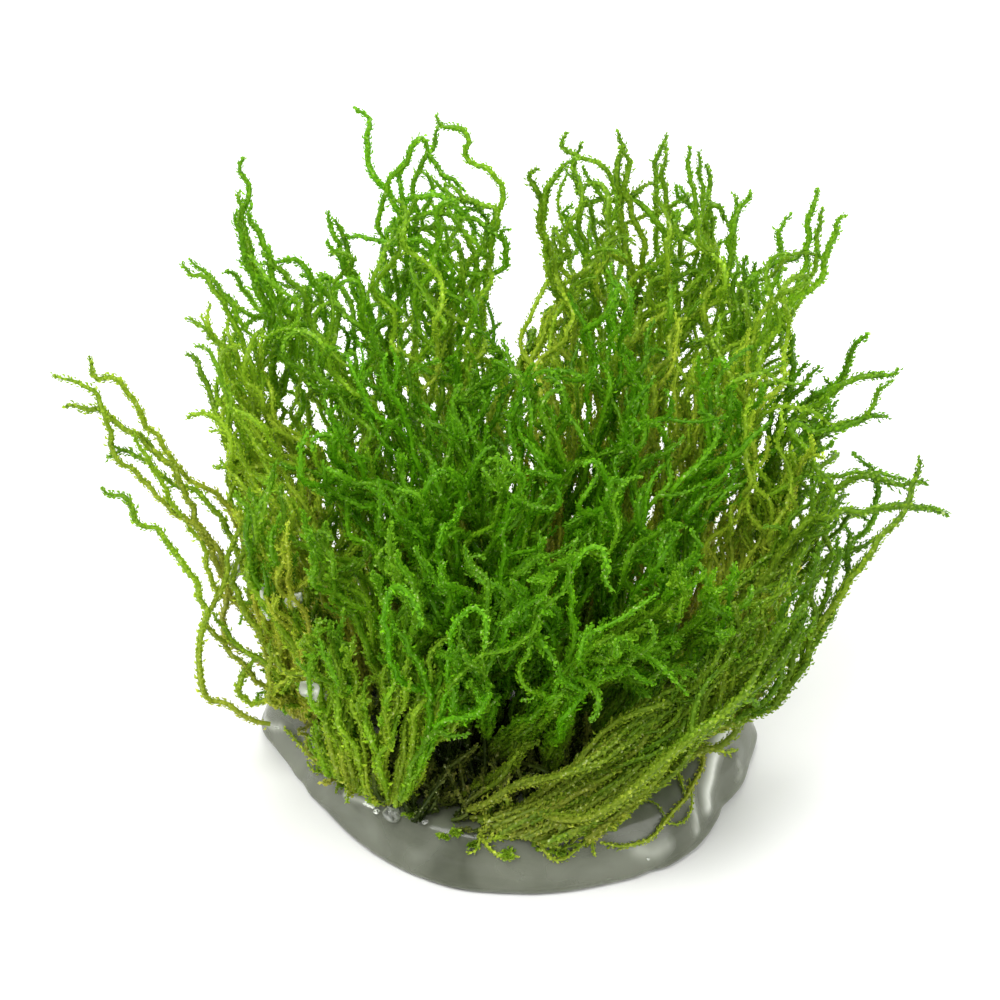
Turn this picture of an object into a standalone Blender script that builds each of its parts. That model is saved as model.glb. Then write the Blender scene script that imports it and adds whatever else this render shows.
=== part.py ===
"""Flame moss, a clump of upright wavy shoots, on its pad of clear culture gel.

The pad is one flat piece with a sloping edge. The moss stands on it as locks: tapered, wavy, twisted
bundles of shoots that start side by side on the pad, spread like a flame and end where the longest
shoots of the real clump end. The front is -Y, and the origin is the middle of the pad's underside.
"""
import math

import bmesh
import bpy
from mathutils import Vector
from mathutils.kdtree import KDTree

MM = 0.001

# The pad: a wavy round, given by its radius at angles counted from +X towards the back
PAD_HEIGHT = 7.0 * MM
PAD_SLOPE = 3.4 * MM
PAD_FOOT_ROUND = 0.9 * MM
PAD_DISH = 0.5 * MM
PAD_STEPS = 60
PAD_OUTLINE = (
    (-169, 26.2), (-144, 25.6), (-115, 27.5), (-91, 28.3), (-67, 29.0), (-45, 30.4), (-24, 29.2),
    (0, 30.2), (25, 29.6), (52, 28.8), (80, 28.4), (108, 28.6), (136, 28.8), (160, 29.4), (178, 28.8),
)

# The locks: room between them, where their roots stand, how thick they are, and their waves and twist
GAP = 0.3 * MM
ROOT_LEVEL = PAD_HEIGHT + GAP
ROOT_REACH = 23.5 * MM
ROOT_INSET = 5.5 * MM
ROOT_RADIUS = 1.9 * MM
BELLY_RADIUS = 3.6 * MM
BELLY_START = 0.3
BELLY_END = 0.45
TIP_RADIUS = 0.55 * MM
LEAST_RADIUS = 0.35 * MM
WAVE_SIZE = 1.5 * MM
WAVE_LENGTH = 24.0 * MM
LINE_POINTS = 25
TWIST_LENGTH = 34.0 * MM

# Where the locks' tips are, in millimetres
LOCK_TIPS = {
    "back_left": ((-20, 24, 60), (-16.6, 30, 69.5), (-10, 26, 67), (-7.7, 32, 67), (-3, 24, 56)),
    "left_back": ((-30, 20, 68.5), (-29, 25, 61), (-23, 15, 56)),
    "left": ((-35.6, 12, 60), (-36.5, 8, 53), (-35, 2, 50)),
    "far_left": ((-50.5, 2, 51), (-47, 7, 51), (-44.5, -6, 41.5)),
    "front_left": ((-22.6, -12, 43), (-20.5, -21, 34), (-13, -19, 43), (-28, -6, 44)),
    "front": ((-3.6, -27, 35), (5, -24, 44), (12, -27, 38), (-8, -20, 43)),
    "front_right": ((21.5, -15, 43), (27, -20, 36), (18, -26, 33)),
    "right": ((44, 6, 43.5), (40, 2, 41), (45.5, 10, 47), (41.8, 14, 48.8)),
    "right_back": ((38.8, 18, 62.5), (35.8, 23, 64), (33, 27, 57), (28.5, 24, 62)),
    "back_right": ((3.5, 30, 61.5), (7.2, 27, 67), (13.5, 28, 68), (18.6, 31, 65), (22, 26, 66.5)),
    "back": ((-14, 42.5, 45), (-1, 43.5, 38), (13, 44.5, 46), (27, 41.5, 45)),
    "crown": ((-15, 9, 56), (-4, 2, 50), (6, 5, 52), (17, 3, 50), (28, 6, 50), (-22, -1, 49),
              (-2, 14, 50), (14, 16, 58), (-9, -9, 47), (2, -11, 48), (13, -10, 46)),
}

# The long shoots that start at the front and sweep low across the pad to the right
SWEEP_ROOTS = ((-4, -22), (1, -23), (6.5, -22.5), (12, -20.5), (17, -17))
SWEEP_TIPS = ((41, -12, 35), (35, -18, 33.5), (50, -4, 37), (45, -8, 39.5), (47.5, 2, 39.5))

# The one thin shoot that leaves the pad at the left, hangs over its edge and turns up again
HANGING_SHOOT = ((-22.5, -7, 8), (-26.5, -8, 9.3), (-31, -8.5, 8.6), (-35, -9, 8), (-37.2, -9.5, 12),
                 (-36, -10, 18), (-36, -10.5, 24), (-39, -11, 30), (-43, -11.5, 34), (-47, -12, 37.5))
HANGING_RADIUS = 0.7 * MM

# The older moss is olive, the rest green
OLIVE_PLACES = ("left_lock", "sweep_lock", "hanging_shoot")


def remove_everything():
    for item in list(bpy.data.objects):
        bpy.data.objects.remove(item)


def make_collection(name):
    group = bpy.data.collections.new(name)
    bpy.context.scene.collection.children.link(group)
    return group


def make_material(name, colour, roughness, alpha=1.0):
    material = bpy.data.materials.new(name)
    material.use_nodes = True
    shader = material.node_tree.nodes["Principled BSDF"]
    shader.inputs["Base Color"].default_value = (*colour, 1.0)
    shader.inputs["Roughness"].default_value = roughness
    shader.inputs["Metallic"].default_value = 0.0
    shader.inputs["Alpha"].default_value = alpha
    return material


def smooth_between(values, place):
    """The value at a place along a run of values, read from a curve through them all."""
    last = len(values) - 1
    index = min(int(place), last - 1)
    share = place - index
    before = values[max(index - 1, 0)]
    start = values[index]
    end = values[index + 1]
    after = values[min(index + 2, last)]
    lean_in = (end - before) * 0.5
    lean_out = (after - start) * 0.5
    cube = (start - end) * 2 + lean_in + lean_out
    square = (end - start) * 3 - lean_in * 2 - lean_out
    return start + lean_in * share + square * share ** 2 + cube * share ** 3


def pad_radius(angle):
    """The pad's radius in metres at an angle in degrees."""
    angles = [row[0] for row in PAD_OUTLINE]
    radii = [row[1] * MM for row in PAD_OUTLINE]
    count = len(angles)
    angle = (angle - angles[0]) % 360 + angles[0]
    index = max(number for number in range(count) if angles[number] <= angle)
    following = angles[index + 1] if index + 1 < count else angles[0] + 360
    share = (angle - angles[index]) / (following - angles[index])
    around = [radii[(index + step) % count] for step in (-1, 0, 1, 2)]
    return smooth_between(around, 1 + share)


def make_gel_pad(group, material):
    """A turned disc with a sloping rim, then drawn out to the wavy outline."""
    rim_middle = 0.55
    profile = (
        (0.0, 0.0, 0.0),
        (1.0, -PAD_FOOT_ROUND, 0.0),
        (1.0, -0.25 * PAD_FOOT_ROUND, 0.3 * PAD_FOOT_ROUND),
        (1.0, 0.0, PAD_FOOT_ROUND),
        (1.0, -0.35 * PAD_SLOPE, rim_middle * PAD_HEIGHT),
        (1.0, -0.8 * PAD_SLOPE, 0.9 * PAD_HEIGHT),
        (1.0, -1.3 * PAD_SLOPE, PAD_HEIGHT),
        (0.6, 0.0, PAD_HEIGHT - 0.6 * PAD_DISH),
        (0.0, 0.0, PAD_HEIGHT - PAD_DISH),
    )
    shape = bmesh.new()
    nominal = 30 * MM
    points = [shape.verts.new((share * nominal + inset, 0.0, height)) for share, inset, height in profile]
    edges = [shape.edges.new(pair) for pair in zip(points, points[1:])]
    bmesh.ops.spin(shape, geom=points + edges, cent=(0, 0, 0), axis=(0, 0, 1),
                   angle=math.tau, steps=PAD_STEPS, use_merge=True)
    bmesh.ops.remove_doubles(shape, verts=shape.verts[:], dist=0.01 * MM)
    for vert in shape.verts:
        reach = math.hypot(vert.co.x, vert.co.y)
        angle = math.degrees(math.atan2(vert.co.y, vert.co.x))
        share = min(reach / nominal, 1.0)
        grow = (reach + (pad_radius(angle) - nominal) * share) / reach if reach > MM else 1.0
        vert.co.x *= grow
        vert.co.y *= grow
    bmesh.ops.recalc_face_normals(shape, faces=shape.faces[:])
    mesh = bpy.data.meshes.new("gel_pad")
    shape.to_mesh(mesh)
    shape.free()
    mesh.shade_smooth()
    mesh.set_sharp_from_angle(angle=math.radians(40))
    mesh.materials.append(material)
    group.objects.link(bpy.data.objects.new("gel_pad", mesh))


def lock_starts():
    """Every lock's name with its root, its tip and whether it sweeps low."""
    starts = []
    for place, tips in LOCK_TIPS.items():
        for number, tip in enumerate(tips, 1):
            tip = Vector(tip) * MM
            flat = Vector((tip.x, tip.y, 0.0))
            reach = ROOT_REACH * min(1.0, flat.length / (38 * MM)) ** 0.9
            root = flat.normalized() * reach
            root.z = ROOT_LEVEL
            starts.append((f"{place}_lock_{number}", root, tip, False))
    for number, (root, tip) in enumerate(zip(SWEEP_ROOTS, SWEEP_TIPS), 1):
        root = Vector((*root, 0.0)) * MM
        root.z = ROOT_LEVEL
        starts.append((f"sweep_lock_{number}", root, Vector(tip) * MM, True))
    return starts


def bezier(points, share):
    a, b, c, d = points
    rest = 1.0 - share
    return a * rest ** 3 + b * (3 * rest * rest * share) + c * (3 * rest * share * share) + d * share ** 3


def first_line(number, root, tip, sweeps):
    """The lock's middle line before its neighbours push it: rising, leaning out, and wavy."""
    span = (tip - root).length
    upright = Vector((0, 0, 1))
    way = tip - root
    if sweeps:
        bend = (root, root + way * 0.3, root + way * 0.7 - upright * (0.05 * span), tip)
    else:
        outward = Vector((way.x, way.y, 0))
        bend = (root, root + upright * (0.34 * span) + outward * 0.06,
                root + way * 0.62 + upright * (0.14 * span), tip)
    line = []
    for step in range(LINE_POINTS):
        share = step / (LINE_POINTS - 1)
        turn = math.tau * share * span / WAVE_LENGTH + 2.4 * number
        swing = WAVE_SIZE * math.sin(math.pi * min(1.0, share * 1.15) * 0.5) * (1.0 - share ** 4)
        wave = Vector((math.cos(turn), math.sin(turn * 1.3 + number), 0)) * swing
        line.append(bezier(bend, share) + wave)
    return line


def wanted_radius(share, sweeps):
    """How thick a lock would be, alone: a narrow root, a belly, and a long thin end."""
    belly = BELLY_RADIUS * (0.8 if sweeps else 1.0)
    if share < BELLY_START:
        return ROOT_RADIUS + (belly - ROOT_RADIUS) * math.sin(math.pi * 0.5 * share / BELLY_START)
    fall = max(0.0, share - BELLY_END) / (1.0 - BELLY_END)
    return TIP_RADIUS + (belly - TIP_RADIUS) * (1.0 - fall ** 1.2) ** 1.5


def settle(lines, radii, rounds=70):
    """Slide the lines sideways until the locks have room beside each other. Tips stay put."""
    count = LINE_POINTS
    moved = [[Vector((0, 0, 0)) for _ in range(count)] for _ in lines]
    reach = 2 * BELLY_RADIUS + GAP
    for _ in range(rounds):
        now = [[place + shift for place, shift in zip(line, shifts)] for line, shifts in zip(lines, moved)]
        tree = KDTree(len(lines) * count)
        for index, line in enumerate(now):
            for step, place in enumerate(line):
                tree.insert(place, index * count + step)
        tree.balance()
        for index, line in enumerate(now):
            pushes = []
            for step, place in enumerate(line):
                push = Vector((0, 0, 0))
                for other_place, other, distance in tree.find_range(place, reach):
                    if other // count == index:
                        continue
                    room = radii[index][step] + radii[other // count][other % count] + 1.5 * GAP
                    if 1e-7 < distance < room:
                        push += (place - other_place) * (0.3 * (room - distance) / distance)
                pushes.append(push)
            shifts = [shift + push for shift, push in zip(moved[index], pushes)]
            shifts[-1] = Vector((0, 0, 0))
            shifts[0].z = 0.0
            smooth = [shifts[0] * 0.6 + shifts[1] * 0.4]
            smooth += [(shifts[k - 1] + shifts[k] * 2 + shifts[k + 1]) * 0.25 for k in range(1, count - 1)]
            smooth.append(shifts[-1])
            smooth[0].z = 0.0
            moved[index] = smooth
            keep_on_pad(lines[index], moved[index], radii[index])
    return [[place + shift for place, shift in zip(line, shifts)] for line, shifts in zip(lines, moved)]


def keep_on_pad(line, shifts, radii):
    """Hold a root on the pad's flat top, and every point above it."""
    root = line[0] + shifts[0]
    flat = Vector((root.x, root.y, 0))
    limit = min(ROOT_REACH, pad_radius(math.degrees(math.atan2(root.y, root.x))) - ROOT_INSET)
    if flat.length > limit:
        flat *= limit / flat.length
        shifts[0].x = flat.x - line[0].x
        shifts[0].y = flat.y - line[0].y
    for step in range(1, len(line)):
        low = ROOT_LEVEL + radii[step]
        shifts[step].z = max(shifts[step].z, low - line[step].z)


def lift_root(line, radius):
    """Raise a leaning root so that the rim of its round foot still clears the pad."""
    lean = (line[2] - line[0]).normalized()
    line[0].z = ROOT_LEVEL + radius * math.sqrt(max(0.0, 1.0 - lean.z ** 2))
    line[1].z = max(line[1].z, line[0].z + 0.2 * GAP)
    line[2].z = max(line[2].z, line[0].z + 0.5 * GAP)


def nearest_on_run(place, start, end):
    along = end - start
    share = max(0.0, min(1.0, (place - start).dot(along) / along.length_squared))
    return (place - start - along * share).length


def fitting_radii(lines, radii):
    """Each lock as thick as it wants to be, or as its nearest neighbour leaves it room for."""
    fitted = []
    for index, line in enumerate(lines):
        row = []
        for step, place in enumerate(line):
            allowed = radii[index][step]
            for other_index, other in enumerate(lines):
                if other_index == index:
                    continue
                nearest = min(range(len(other)), key=lambda k: (other[k] - place).length_squared)
                if (other[nearest] - place).length > 3 * BELLY_RADIUS:
                    continue
                for k in range(max(nearest - 1, 0), min(nearest + 1, len(other) - 1)):
                    distance = nearest_on_run(place, other[k], other[k + 1])
                    wanted = max(radii[other_index][k], radii[other_index][k + 1])
                    share = radii[index][step] / (radii[index][step] + wanted)
                    allowed = min(allowed, (distance - 1.3 * GAP) * share)
            row.append(max(allowed, LEAST_RADIUS))
        fitted.append(row)
    return fitted


def make_profile(group):
    """The lock's cross-section, a soft three-lobed star of unit size in millimetres."""
    curve = bpy.data.curves.new("lock_section", "CURVE")
    curve.dimensions = "2D"
    spline = curve.splines.new("POLY")
    spline.points.add(5)
    for number, point in enumerate(spline.points):
        reach = MM * (1.0 if number % 2 == 0 else 0.66)
        angle = -math.tau * number / 6
        point.co = (reach * math.cos(angle), reach * math.sin(angle), 0.0, 1.0)
    spline.use_cyclic_u = True
    section = bpy.data.objects.new("lock_section", curve)
    section.hide_render = True
    section.display_type = "WIRE"
    group.objects.link(section)
    return section


def make_lock(name, line, radii, section, group, material):
    curve = bpy.data.curves.new(name, "CURVE")
    curve.dimensions = "3D"
    curve.bevel_mode = "OBJECT"
    curve.bevel_object = section
    curve.use_fill_caps = True
    curve.twist_mode = "MINIMUM"
    steps = range(0, LINE_POINTS, 2)
    spline = curve.splines.new("POLY")
    spline.points.add(len(steps) - 1)
    run = 0.0
    for point, step in zip(spline.points, steps):
        point.co = (*line[step], 1.0)
        point.radius = radii[step] / MM
        point.tilt = math.tau * run / TWIST_LENGTH
        if step + 2 < LINE_POINTS:
            run += (line[step + 2] - line[step]).length
    curve.materials.append(material)
    group.objects.link(bpy.data.objects.new(name, curve))


def main():
    remove_everything()
    group = make_collection("flame_moss")
    guides = make_collection("guides")
    gel = make_material("culture_gel", (0.42, 0.43, 0.38), 0.12, 0.6)
    green = make_material("green_moss", (0.06, 0.22, 0.01), 0.55)
    olive = make_material("olive_moss", (0.16, 0.20, 0.03), 0.6)
    make_gel_pad(group, gel)
    section = make_profile(guides)
    starts = lock_starts()
    names = [name for name, _, _, _ in starts]
    lines = [first_line(number, root, tip, sweeps) for number, (_, root, tip, sweeps) in enumerate(starts)]
    radii = [[wanted_radius(step / (LINE_POINTS - 1), sweeps) for step in range(LINE_POINTS)]
             for _, _, _, sweeps in starts]
    names.append("hanging_shoot")
    route = [Vector(place) * MM for place in HANGING_SHOOT]
    lines.append([smooth_between(route, (len(route) - 1) * step / (LINE_POINTS - 1))
                  for step in range(LINE_POINTS)])
    radii.append([HANGING_RADIUS] * LINE_POINTS)
    lines = settle(lines, radii)
    for line, row in zip(lines, radii):
        lift_root(line, row[0])
    radii = fitting_radii(lines, radii)
    for name, line, row in zip(names, lines, radii):
        material = olive if name.startswith(OLIVE_PLACES) else green
        make_lock(name, line, row, section, group, material)


main()
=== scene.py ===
"""The looks of a clump of flame moss that stands on its pad of culture gel.

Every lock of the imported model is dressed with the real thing's shoots: wavy stems that follow the lock
from its foot, wander and hook over near their tips, fork, and are scaled all over with tiny pointed
leaves. The shoots that stand out in the photograph follow routes of their own.
"""
import math

import bmesh
import bpy
import numpy as np
from mathutils import Euler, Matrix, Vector, noise
from mathutils.bvhtree import BVHTree


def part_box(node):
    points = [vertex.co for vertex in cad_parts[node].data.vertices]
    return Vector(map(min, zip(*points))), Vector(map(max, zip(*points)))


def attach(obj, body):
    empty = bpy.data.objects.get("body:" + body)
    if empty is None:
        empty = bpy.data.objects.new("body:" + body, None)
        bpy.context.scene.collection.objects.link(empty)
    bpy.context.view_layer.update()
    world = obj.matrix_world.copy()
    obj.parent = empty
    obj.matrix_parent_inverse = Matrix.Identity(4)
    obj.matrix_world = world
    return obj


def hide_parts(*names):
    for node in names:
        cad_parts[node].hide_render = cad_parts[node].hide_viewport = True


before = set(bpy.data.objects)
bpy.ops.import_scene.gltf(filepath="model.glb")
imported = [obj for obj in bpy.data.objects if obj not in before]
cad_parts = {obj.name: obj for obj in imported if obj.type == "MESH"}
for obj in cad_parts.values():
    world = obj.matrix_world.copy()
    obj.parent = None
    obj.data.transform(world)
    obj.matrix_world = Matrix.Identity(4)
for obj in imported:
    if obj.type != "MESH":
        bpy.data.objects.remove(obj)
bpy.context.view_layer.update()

MM = 0.001
TOUCHING = 0.001 * MM
SEED = 11

# The camera, which looks along +Y and down
CAMERA_PLACE = np.array((-0.36, -347.06, 287.9)) * MM
CAMERA_PITCH = math.radians(36)
CAMERA_LENS = 134.46
SENSOR_WIDTH = 36.0
PHOTO_WIDTH = 1000

# A shoot's stem: its thickness, how thin its tip is and over what length it thins to that
STEM_RADIUS = 0.25 * MM
STEM_SIDES = 4
STEM_STEP = 1.0 * MM
TIP_SHARE = 0.4
TAPER = 4 * MM

# Its leaves, how far they vary, the few that stand proud, and the bud at its tip
LEAF_LENGTH = 0.50 * MM
LEAF_WIDTH = 0.42 * MM
LEAF_FOLD = (0.0, 0.02, 0.16)
LEAF_TIP_BEND = (0.0, 0.0, -0.10)
LEAF_SPACING = 0.165 * MM
LEAF_ENDS = (0.2 * MM, 0.05 * MM)
LEAF_STRAY = (-0.3, 0.3)
LEAF_TURN = math.radians(137.5)
LEAF_TURNS = (-0.5, 0.5)
LEAF_SUNK = 0.8
LEAF_LEAN = math.radians(29)
LEAF_LEANS = (0.45, 1.55)
LEAF_LENGTHS = (0.7, 1.3)
LEAF_WIDTHS = (0.8, 1.2)
LEAF_TINTS = (-0.35, 0.35)
PROUD_SHARE = 0.07
PROUD_LEAN = (1.5, 0.15)
PROUD_LENGTH = 1.4
BUD_LENGTH = 1.6 * MM
BARE_FOOT = 0.25

# The powers by which its leaves and their spacing follow a shoot's thickness
LEAF_GROWTH = 0.4
SPACING_GROWTH = 0.3

# The length over which a shoot grows old, and where stems and leaves are on its strip of the bake map
AGE_LENGTH = 80 * MM
STEM_STRIP = (0.05, 0.2)
LEAF_STRIP = (0.32, 0.6)

# How a shoot's shade, olive share and thickness vary, how it forks: the forks' thickness, place, least
# length, lean and bend, and how it hooks over (millimetres)
SHADES = (-0.32, 0.32)
OLIVES = (-0.25, 0.25)
SIZES = (0.8, 1.15)
FORK_SIZE = 0.75
FORK_PLACES = (0.45, 0.95)
FORK_SHORTEST = 2.0
FORK_LEANS = (0.7, 1.2)
FORK_BENDS = (-0.25, 0.25)
HOOK_STEP = 0.6
HOOK_REACHES = (2.5, 6.5)
HOOK_TURNS = (0.8, 3.2)
HOOK_EASE = 1.3

# The waves of a shoot and the kinks of a routed one, their lengths and sizes (millimetres), and how the
# waves grow from foot to tip
WAVES = (((20, 32), 1.5), ((10, 15), 0.95), ((5, 8), 0.42), ((2.8, 4), 0.15))
KINKS = (((4, 6), 0.16), ((2.4, 3.6), 0.12))
KINK_FREE = 4 * MM
WAVE_PLACES = (0.0, 0.25, 0.6, 1.0)
WAVE_GROWTH = (0.1, 0.35, 0.8, 1.25)

# How far from its lock's middle line a shoot may stand, foot to tip
LOCK_SHARES = (0.0, 0.35, 0.75, 1.0)
LOCK_SPREADS = (1.6 * MM, 2.6 * MM, 4.6 * MM, 5.4 * MM)

# The groups of locks: shoots to a lock, how olive they are, their thickness, the lock's spread, how they
# swing, how many hook over, how pale they are, how far their leaves stand off, and how old they are
GROUP_FACTS = ("shoots", "olive", "size", "spread", "swing", "hooked", "shade", "bristle", "age")
GROUP_ROWS = {
    "far_left": (5, 0.85, 1.05, 0.6, 1.0, 0.5, 0.85, 1.0, 0.0),
    "left": (10, 1.0, 1.2, 0.7, 0.9, 0.5, 1.3, 1.05, 0.1),
    "left_back": (9, 0.6, 1.2, 0.9, 1.1, 0.6, 0.95, 1.0, 0.0),
    "back_left": (5, 0.55, 1.25, 1.0, 1.35, 0.8, 1.3, 1.0, 0.0),
    "back": (8, 0.8, 1.2, 1.1, 1.0, 0.5, 0.8, 1.0, 0.0),
    "back_right": (6, 0.9, 1.25, 1.0, 1.35, 0.8, 1.1, 1.0, 0.0),
    "right_back": (7, 0.82, 1.25, 1.0, 1.3, 0.8, 1.0, 1.0, 0.0),
    "right": (6, 0.6, 1.2, 0.8, 1.1, 0.6, 0.38, 1.0, 0.0),
    "front_left": (9, 0.5, 1.35, 0.65, 0.6, 0.2, 0.72, 1.1, 0.0),
    "front": (11, 0.15, 1.35, 0.65, 0.8, 0.35, 0.52, 1.1, 0.0),
    "front_right": (8, 0.2, 1.35, 0.65, 0.7, 0.2, 0.56, 1.1, 0.0),
    "crown": (12, 0.1, 1.22, 0.95, 1.0, 0.45, 0.6, 1.05, 0.0),
    "sweep": (3, 0.9, 1.5, 0.45, 0.4, 0.2, 0.05, 1.2, 0.0),
}
GROUPS = {place: dict(zip(GROUP_FACTS, row)) for place, row in GROUP_ROWS.items()}

# The shoots of a lock: tries at each, points of its line and of a route, what its leader and the others
# reach, how they turn round its line and swing, and their longest fork (millimetres)
TRIES = 6
LINE_POINTS = 64
ROUTE_POINTS = 48
LEADER_END = 0.97
LEADER_REACH = 0.1
OTHER_ENDS = (0.4, 1.0)
OTHER_REACHES = (0.05, 1.0)
LOCK_TURN = 1.8
LOCK_SWINGS = (0.6, 1.2)
LOCK_FORK = 8.0

# The photograph's outline of the dense part of the clump, past which only single shoots and short forks
# reach. Then how far within it a shoot may end, what it leaves out, and how far back shoots reach.
CLUMP_OUTLINE = (
    (262, 705), (256, 640), (250, 590), (238, 545), (225, 505), (214, 470), (210, 430), (202, 385),
    (194, 350), (200, 310), (215, 295), (236, 300), (244, 262), (240, 222), (254, 220), (272, 262),
    (308, 270), (328, 235), (342, 240), (372, 262), (386, 205), (410, 165), (440, 180), (470, 196),
    (500, 222), (504, 262), (496, 300), (512, 350), (528, 305), (545, 262), (542, 200), (565, 172),
    (600, 176), (625, 168), (656, 172), (692, 170), (712, 190), (734, 225), (748, 270), (800, 245),
    (816, 225), (816, 270), (795, 320), (800, 372), (838, 385), (840, 410), (820, 440), (830, 480),
    (862, 485), (850, 540), (836, 590), (806, 635), (765, 685), (748, 708), (706, 734), (688, 760),
    (664, 790), (640, 812), (600, 845), (560, 858), (480, 848), (440, 824), (345, 788), (300, 748),
    (314, 722), (312, 705),
)
OUTLINE_SLACK = 5.0 * MM
OUTLINE_FOOT = 6 * MM
BACK_REACH = 43.0 * MM
FREE_FORK = 3.0

# The dark hollow at the front: how far the feet there stand back, where it is, how far up painted shade
# darkens its shoots and over what height that fades (millimetres), and how strongly that painted shade
# ages and darkens them and how green it makes them
HOLLOW_DEPTH = 12.0
HOLLOW_MIDDLE = -4.0
HOLLOW_WIDTH = 8.0
HOLLOW_SPREAD = HOLLOW_WIDTH + 2
HOLLOW_HEIGHT = 32.0
HOLLOW_SHADE_HEIGHT = 17.0
HOLLOW_FADE = 7
HOLLOW_MOUTH = -17.0
HOLLOW_SHADE_STRENGTH = 0.66
HOLLOW_SHADE_GREEN = 0.6

# Below this height a shoot is older and more olive (millimetres)
OLIVE_HEIGHT = 20.0
OLIVE_RISE = 1.6
OLIVE_FOOT = 0.55

# Where the moss ends on the gel at the front, in the photograph's pixels, left to right
FOOT_EDGE = (
    (312, 700), (312, 722), (300, 745), (320, 770), (345, 785), (375, 800), (400, 812), (440, 824),
    (480, 845), (520, 850), (560, 856), (600, 842), (640, 812), (665, 788), (690, 745), (712, 725),
    (735, 714),
)

# A short shoot on the gel: its least length (millimetres), how it strays and curls, and its looks
TUFT_SHORTEST = 2.5
TUFT_STRAY = 0.35
TUFT_CURL = 0.25
TUFT_CURLS = (2, 5)
TUFT_TINTS = (0.0, 0.8)
TUFT_SIZES = (0.9, 1.3)
TUFT_HEIGHT = 0.2 * MM

# Those along the edge: how many, the pixel that their places draw towards, which pixels along the edge
# are in the hollow (their high ages there are painted shade), are old, and begin to flow to the right, and
# their leans, lengths, ages and looks
FOOT_TUFTS = 220
FOOT_MIDDLE = np.array((500.0, 735.0))
FOOT_DRAW = (0.0, 0.3)
FOOT_LIFT = 0.3 * MM
FOOT_OUT = 0.5
FOOT_UP = np.array((0.0, 0.0, 0.8))
FOOT_LONGEST = 5.0
FOOT_AGES = (0.1, 0.5)
FOOT_OLIVES = (0.6, 1.0)
HOLLOW_RIM = (396, 474)
HOLLOW_RIM_SHADE_AGES = (0.84, 0.97)
OLD_RIM = (296, 348)
OLDER_RIM = 0.4
FLOW_START = (400, 470)
FLOW_WAY = np.array((0.6, 0.6, 0.4))
FLOW_SHORTER = 1.5

# Those at the back, in the hollow and under the locks: how many, where (millimetres), and their looks, the
# high ages of those in the hollow being painted shade
BACK_TUFTS = 90
BACK_RING = (17, 24)
BACK_ANGLES = (-20, 200)
BACK_LEAN = (0.6, 0.8)
BACK_OLIVES = (0.5, 1.0)
HOLLOW_TUFTS = 160
HOLLOW_ACROSS = (-13, 7)
HOLLOW_ALONG = (-20, -4)
HOLLOW_LEAN = np.array((0.0, 0.3, 0.6))
HOLLOW_OLIVE = 0.35
HOLLOW_TUFT_SHADE_AGE = 0.85
UNDER_TUFTS = 420
UNDER_REACH = 21.0 * MM
UNDER_LEAN = (0.3, 0.9)
UNDER_OLIVE = 0.6
UNDER_LONGEST = 12.0
UNDER_SHORTER = 8.0
UNDER_AGES = (0.5, 0.85)
UNDER_HOLLOW_SHADED = (5.0, 0.87)

# The gel that a shoot keeps clear of, and by how much
PAD_REACH = 29 * MM
PAD_CLEARANCE = 0.35 * MM

# The clear pad: how many faces round and from its middle to its underside, its lumps (millimetres), how
# far within its solid it is read, where it is smoothed, and the height at which its edge swells
PAD_AROUND = 288
PAD_DOWN = 96
PAD_TOP_SHARE = 0.42
PAD_WALL_SHARE = 0.86
PAD_LUMPS = ((7.0, 0.45), (2.6, 0.16), (1.1, 0.05))
PAD_SHRINK = 0.05 * MM
PAD_FAR = 60 * MM
PAD_FREE = 2 * MM
SMOOTH_ABOVE = 0.3 * MM
SMOOTH_ROUNDS = 4
SWELL_HEIGHT = 1.0 * MM
SWELL_END = 3

# Raised ridges on the pad, with a pale haze painted along them that is mostly painted highlight: half width
# and height (millimetres), how strongly it is painted, and the photograph's pixels
RIDGE_POINTS = 40
GEL_RIDGES = (
    (0.95, 0.45, 0.8, (741, 708), (730, 722), (719, 738), (713, 755), (709, 775), (705, 792), (706, 806)),
    (0.6, 0.3, 0.5, (690, 800), (694, 815), (696, 830)),
    (1.1, 0.2, 0.35, (638, 849), (652, 852), (666, 845)),
    (0.5, 0.2, 0.5, (346, 794), (360, 799), (372, 803)),
    (0.5, 0.15, 0.45, (266, 720), (273, 727), (282, 727)),
    (1.2, 0.1, 0.1, (416, 856), (430, 850), (444, 838)),
    (1.5, 0.1, 0.05, (560, 872), (600, 868), (630, 858)),
    (2.6, 0.05, 0.1, (278, 742), (300, 772), (322, 796), (350, 820), (372, 836)),
    (0.5, 0.05, 0.2, (738, 762), (741, 770), (738, 778)),
)

# Where the pad's edge stands out or in: the photograph's pixel, half width and reach (millimetres)
GEL_SWELLS = (
    ((261, 722), 2.5, 0.6), ((303, 781), 1.2, -0.4), ((320, 812), 4.0, -0.6), ((352, 842), 4.0, -0.6),
    ((384, 862), 4.0, -0.6), ((424, 880), 4.0, -0.4), ((652, 868), 0.9, -0.5), ((662, 866), 1.5, 0.25),
    ((728, 806), 1.1, -0.5), ((742, 780), 3.0, 0.55), ((755, 735), 3.0, 0.55), ((500, 893), 4.0, -0.3),
)

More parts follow.
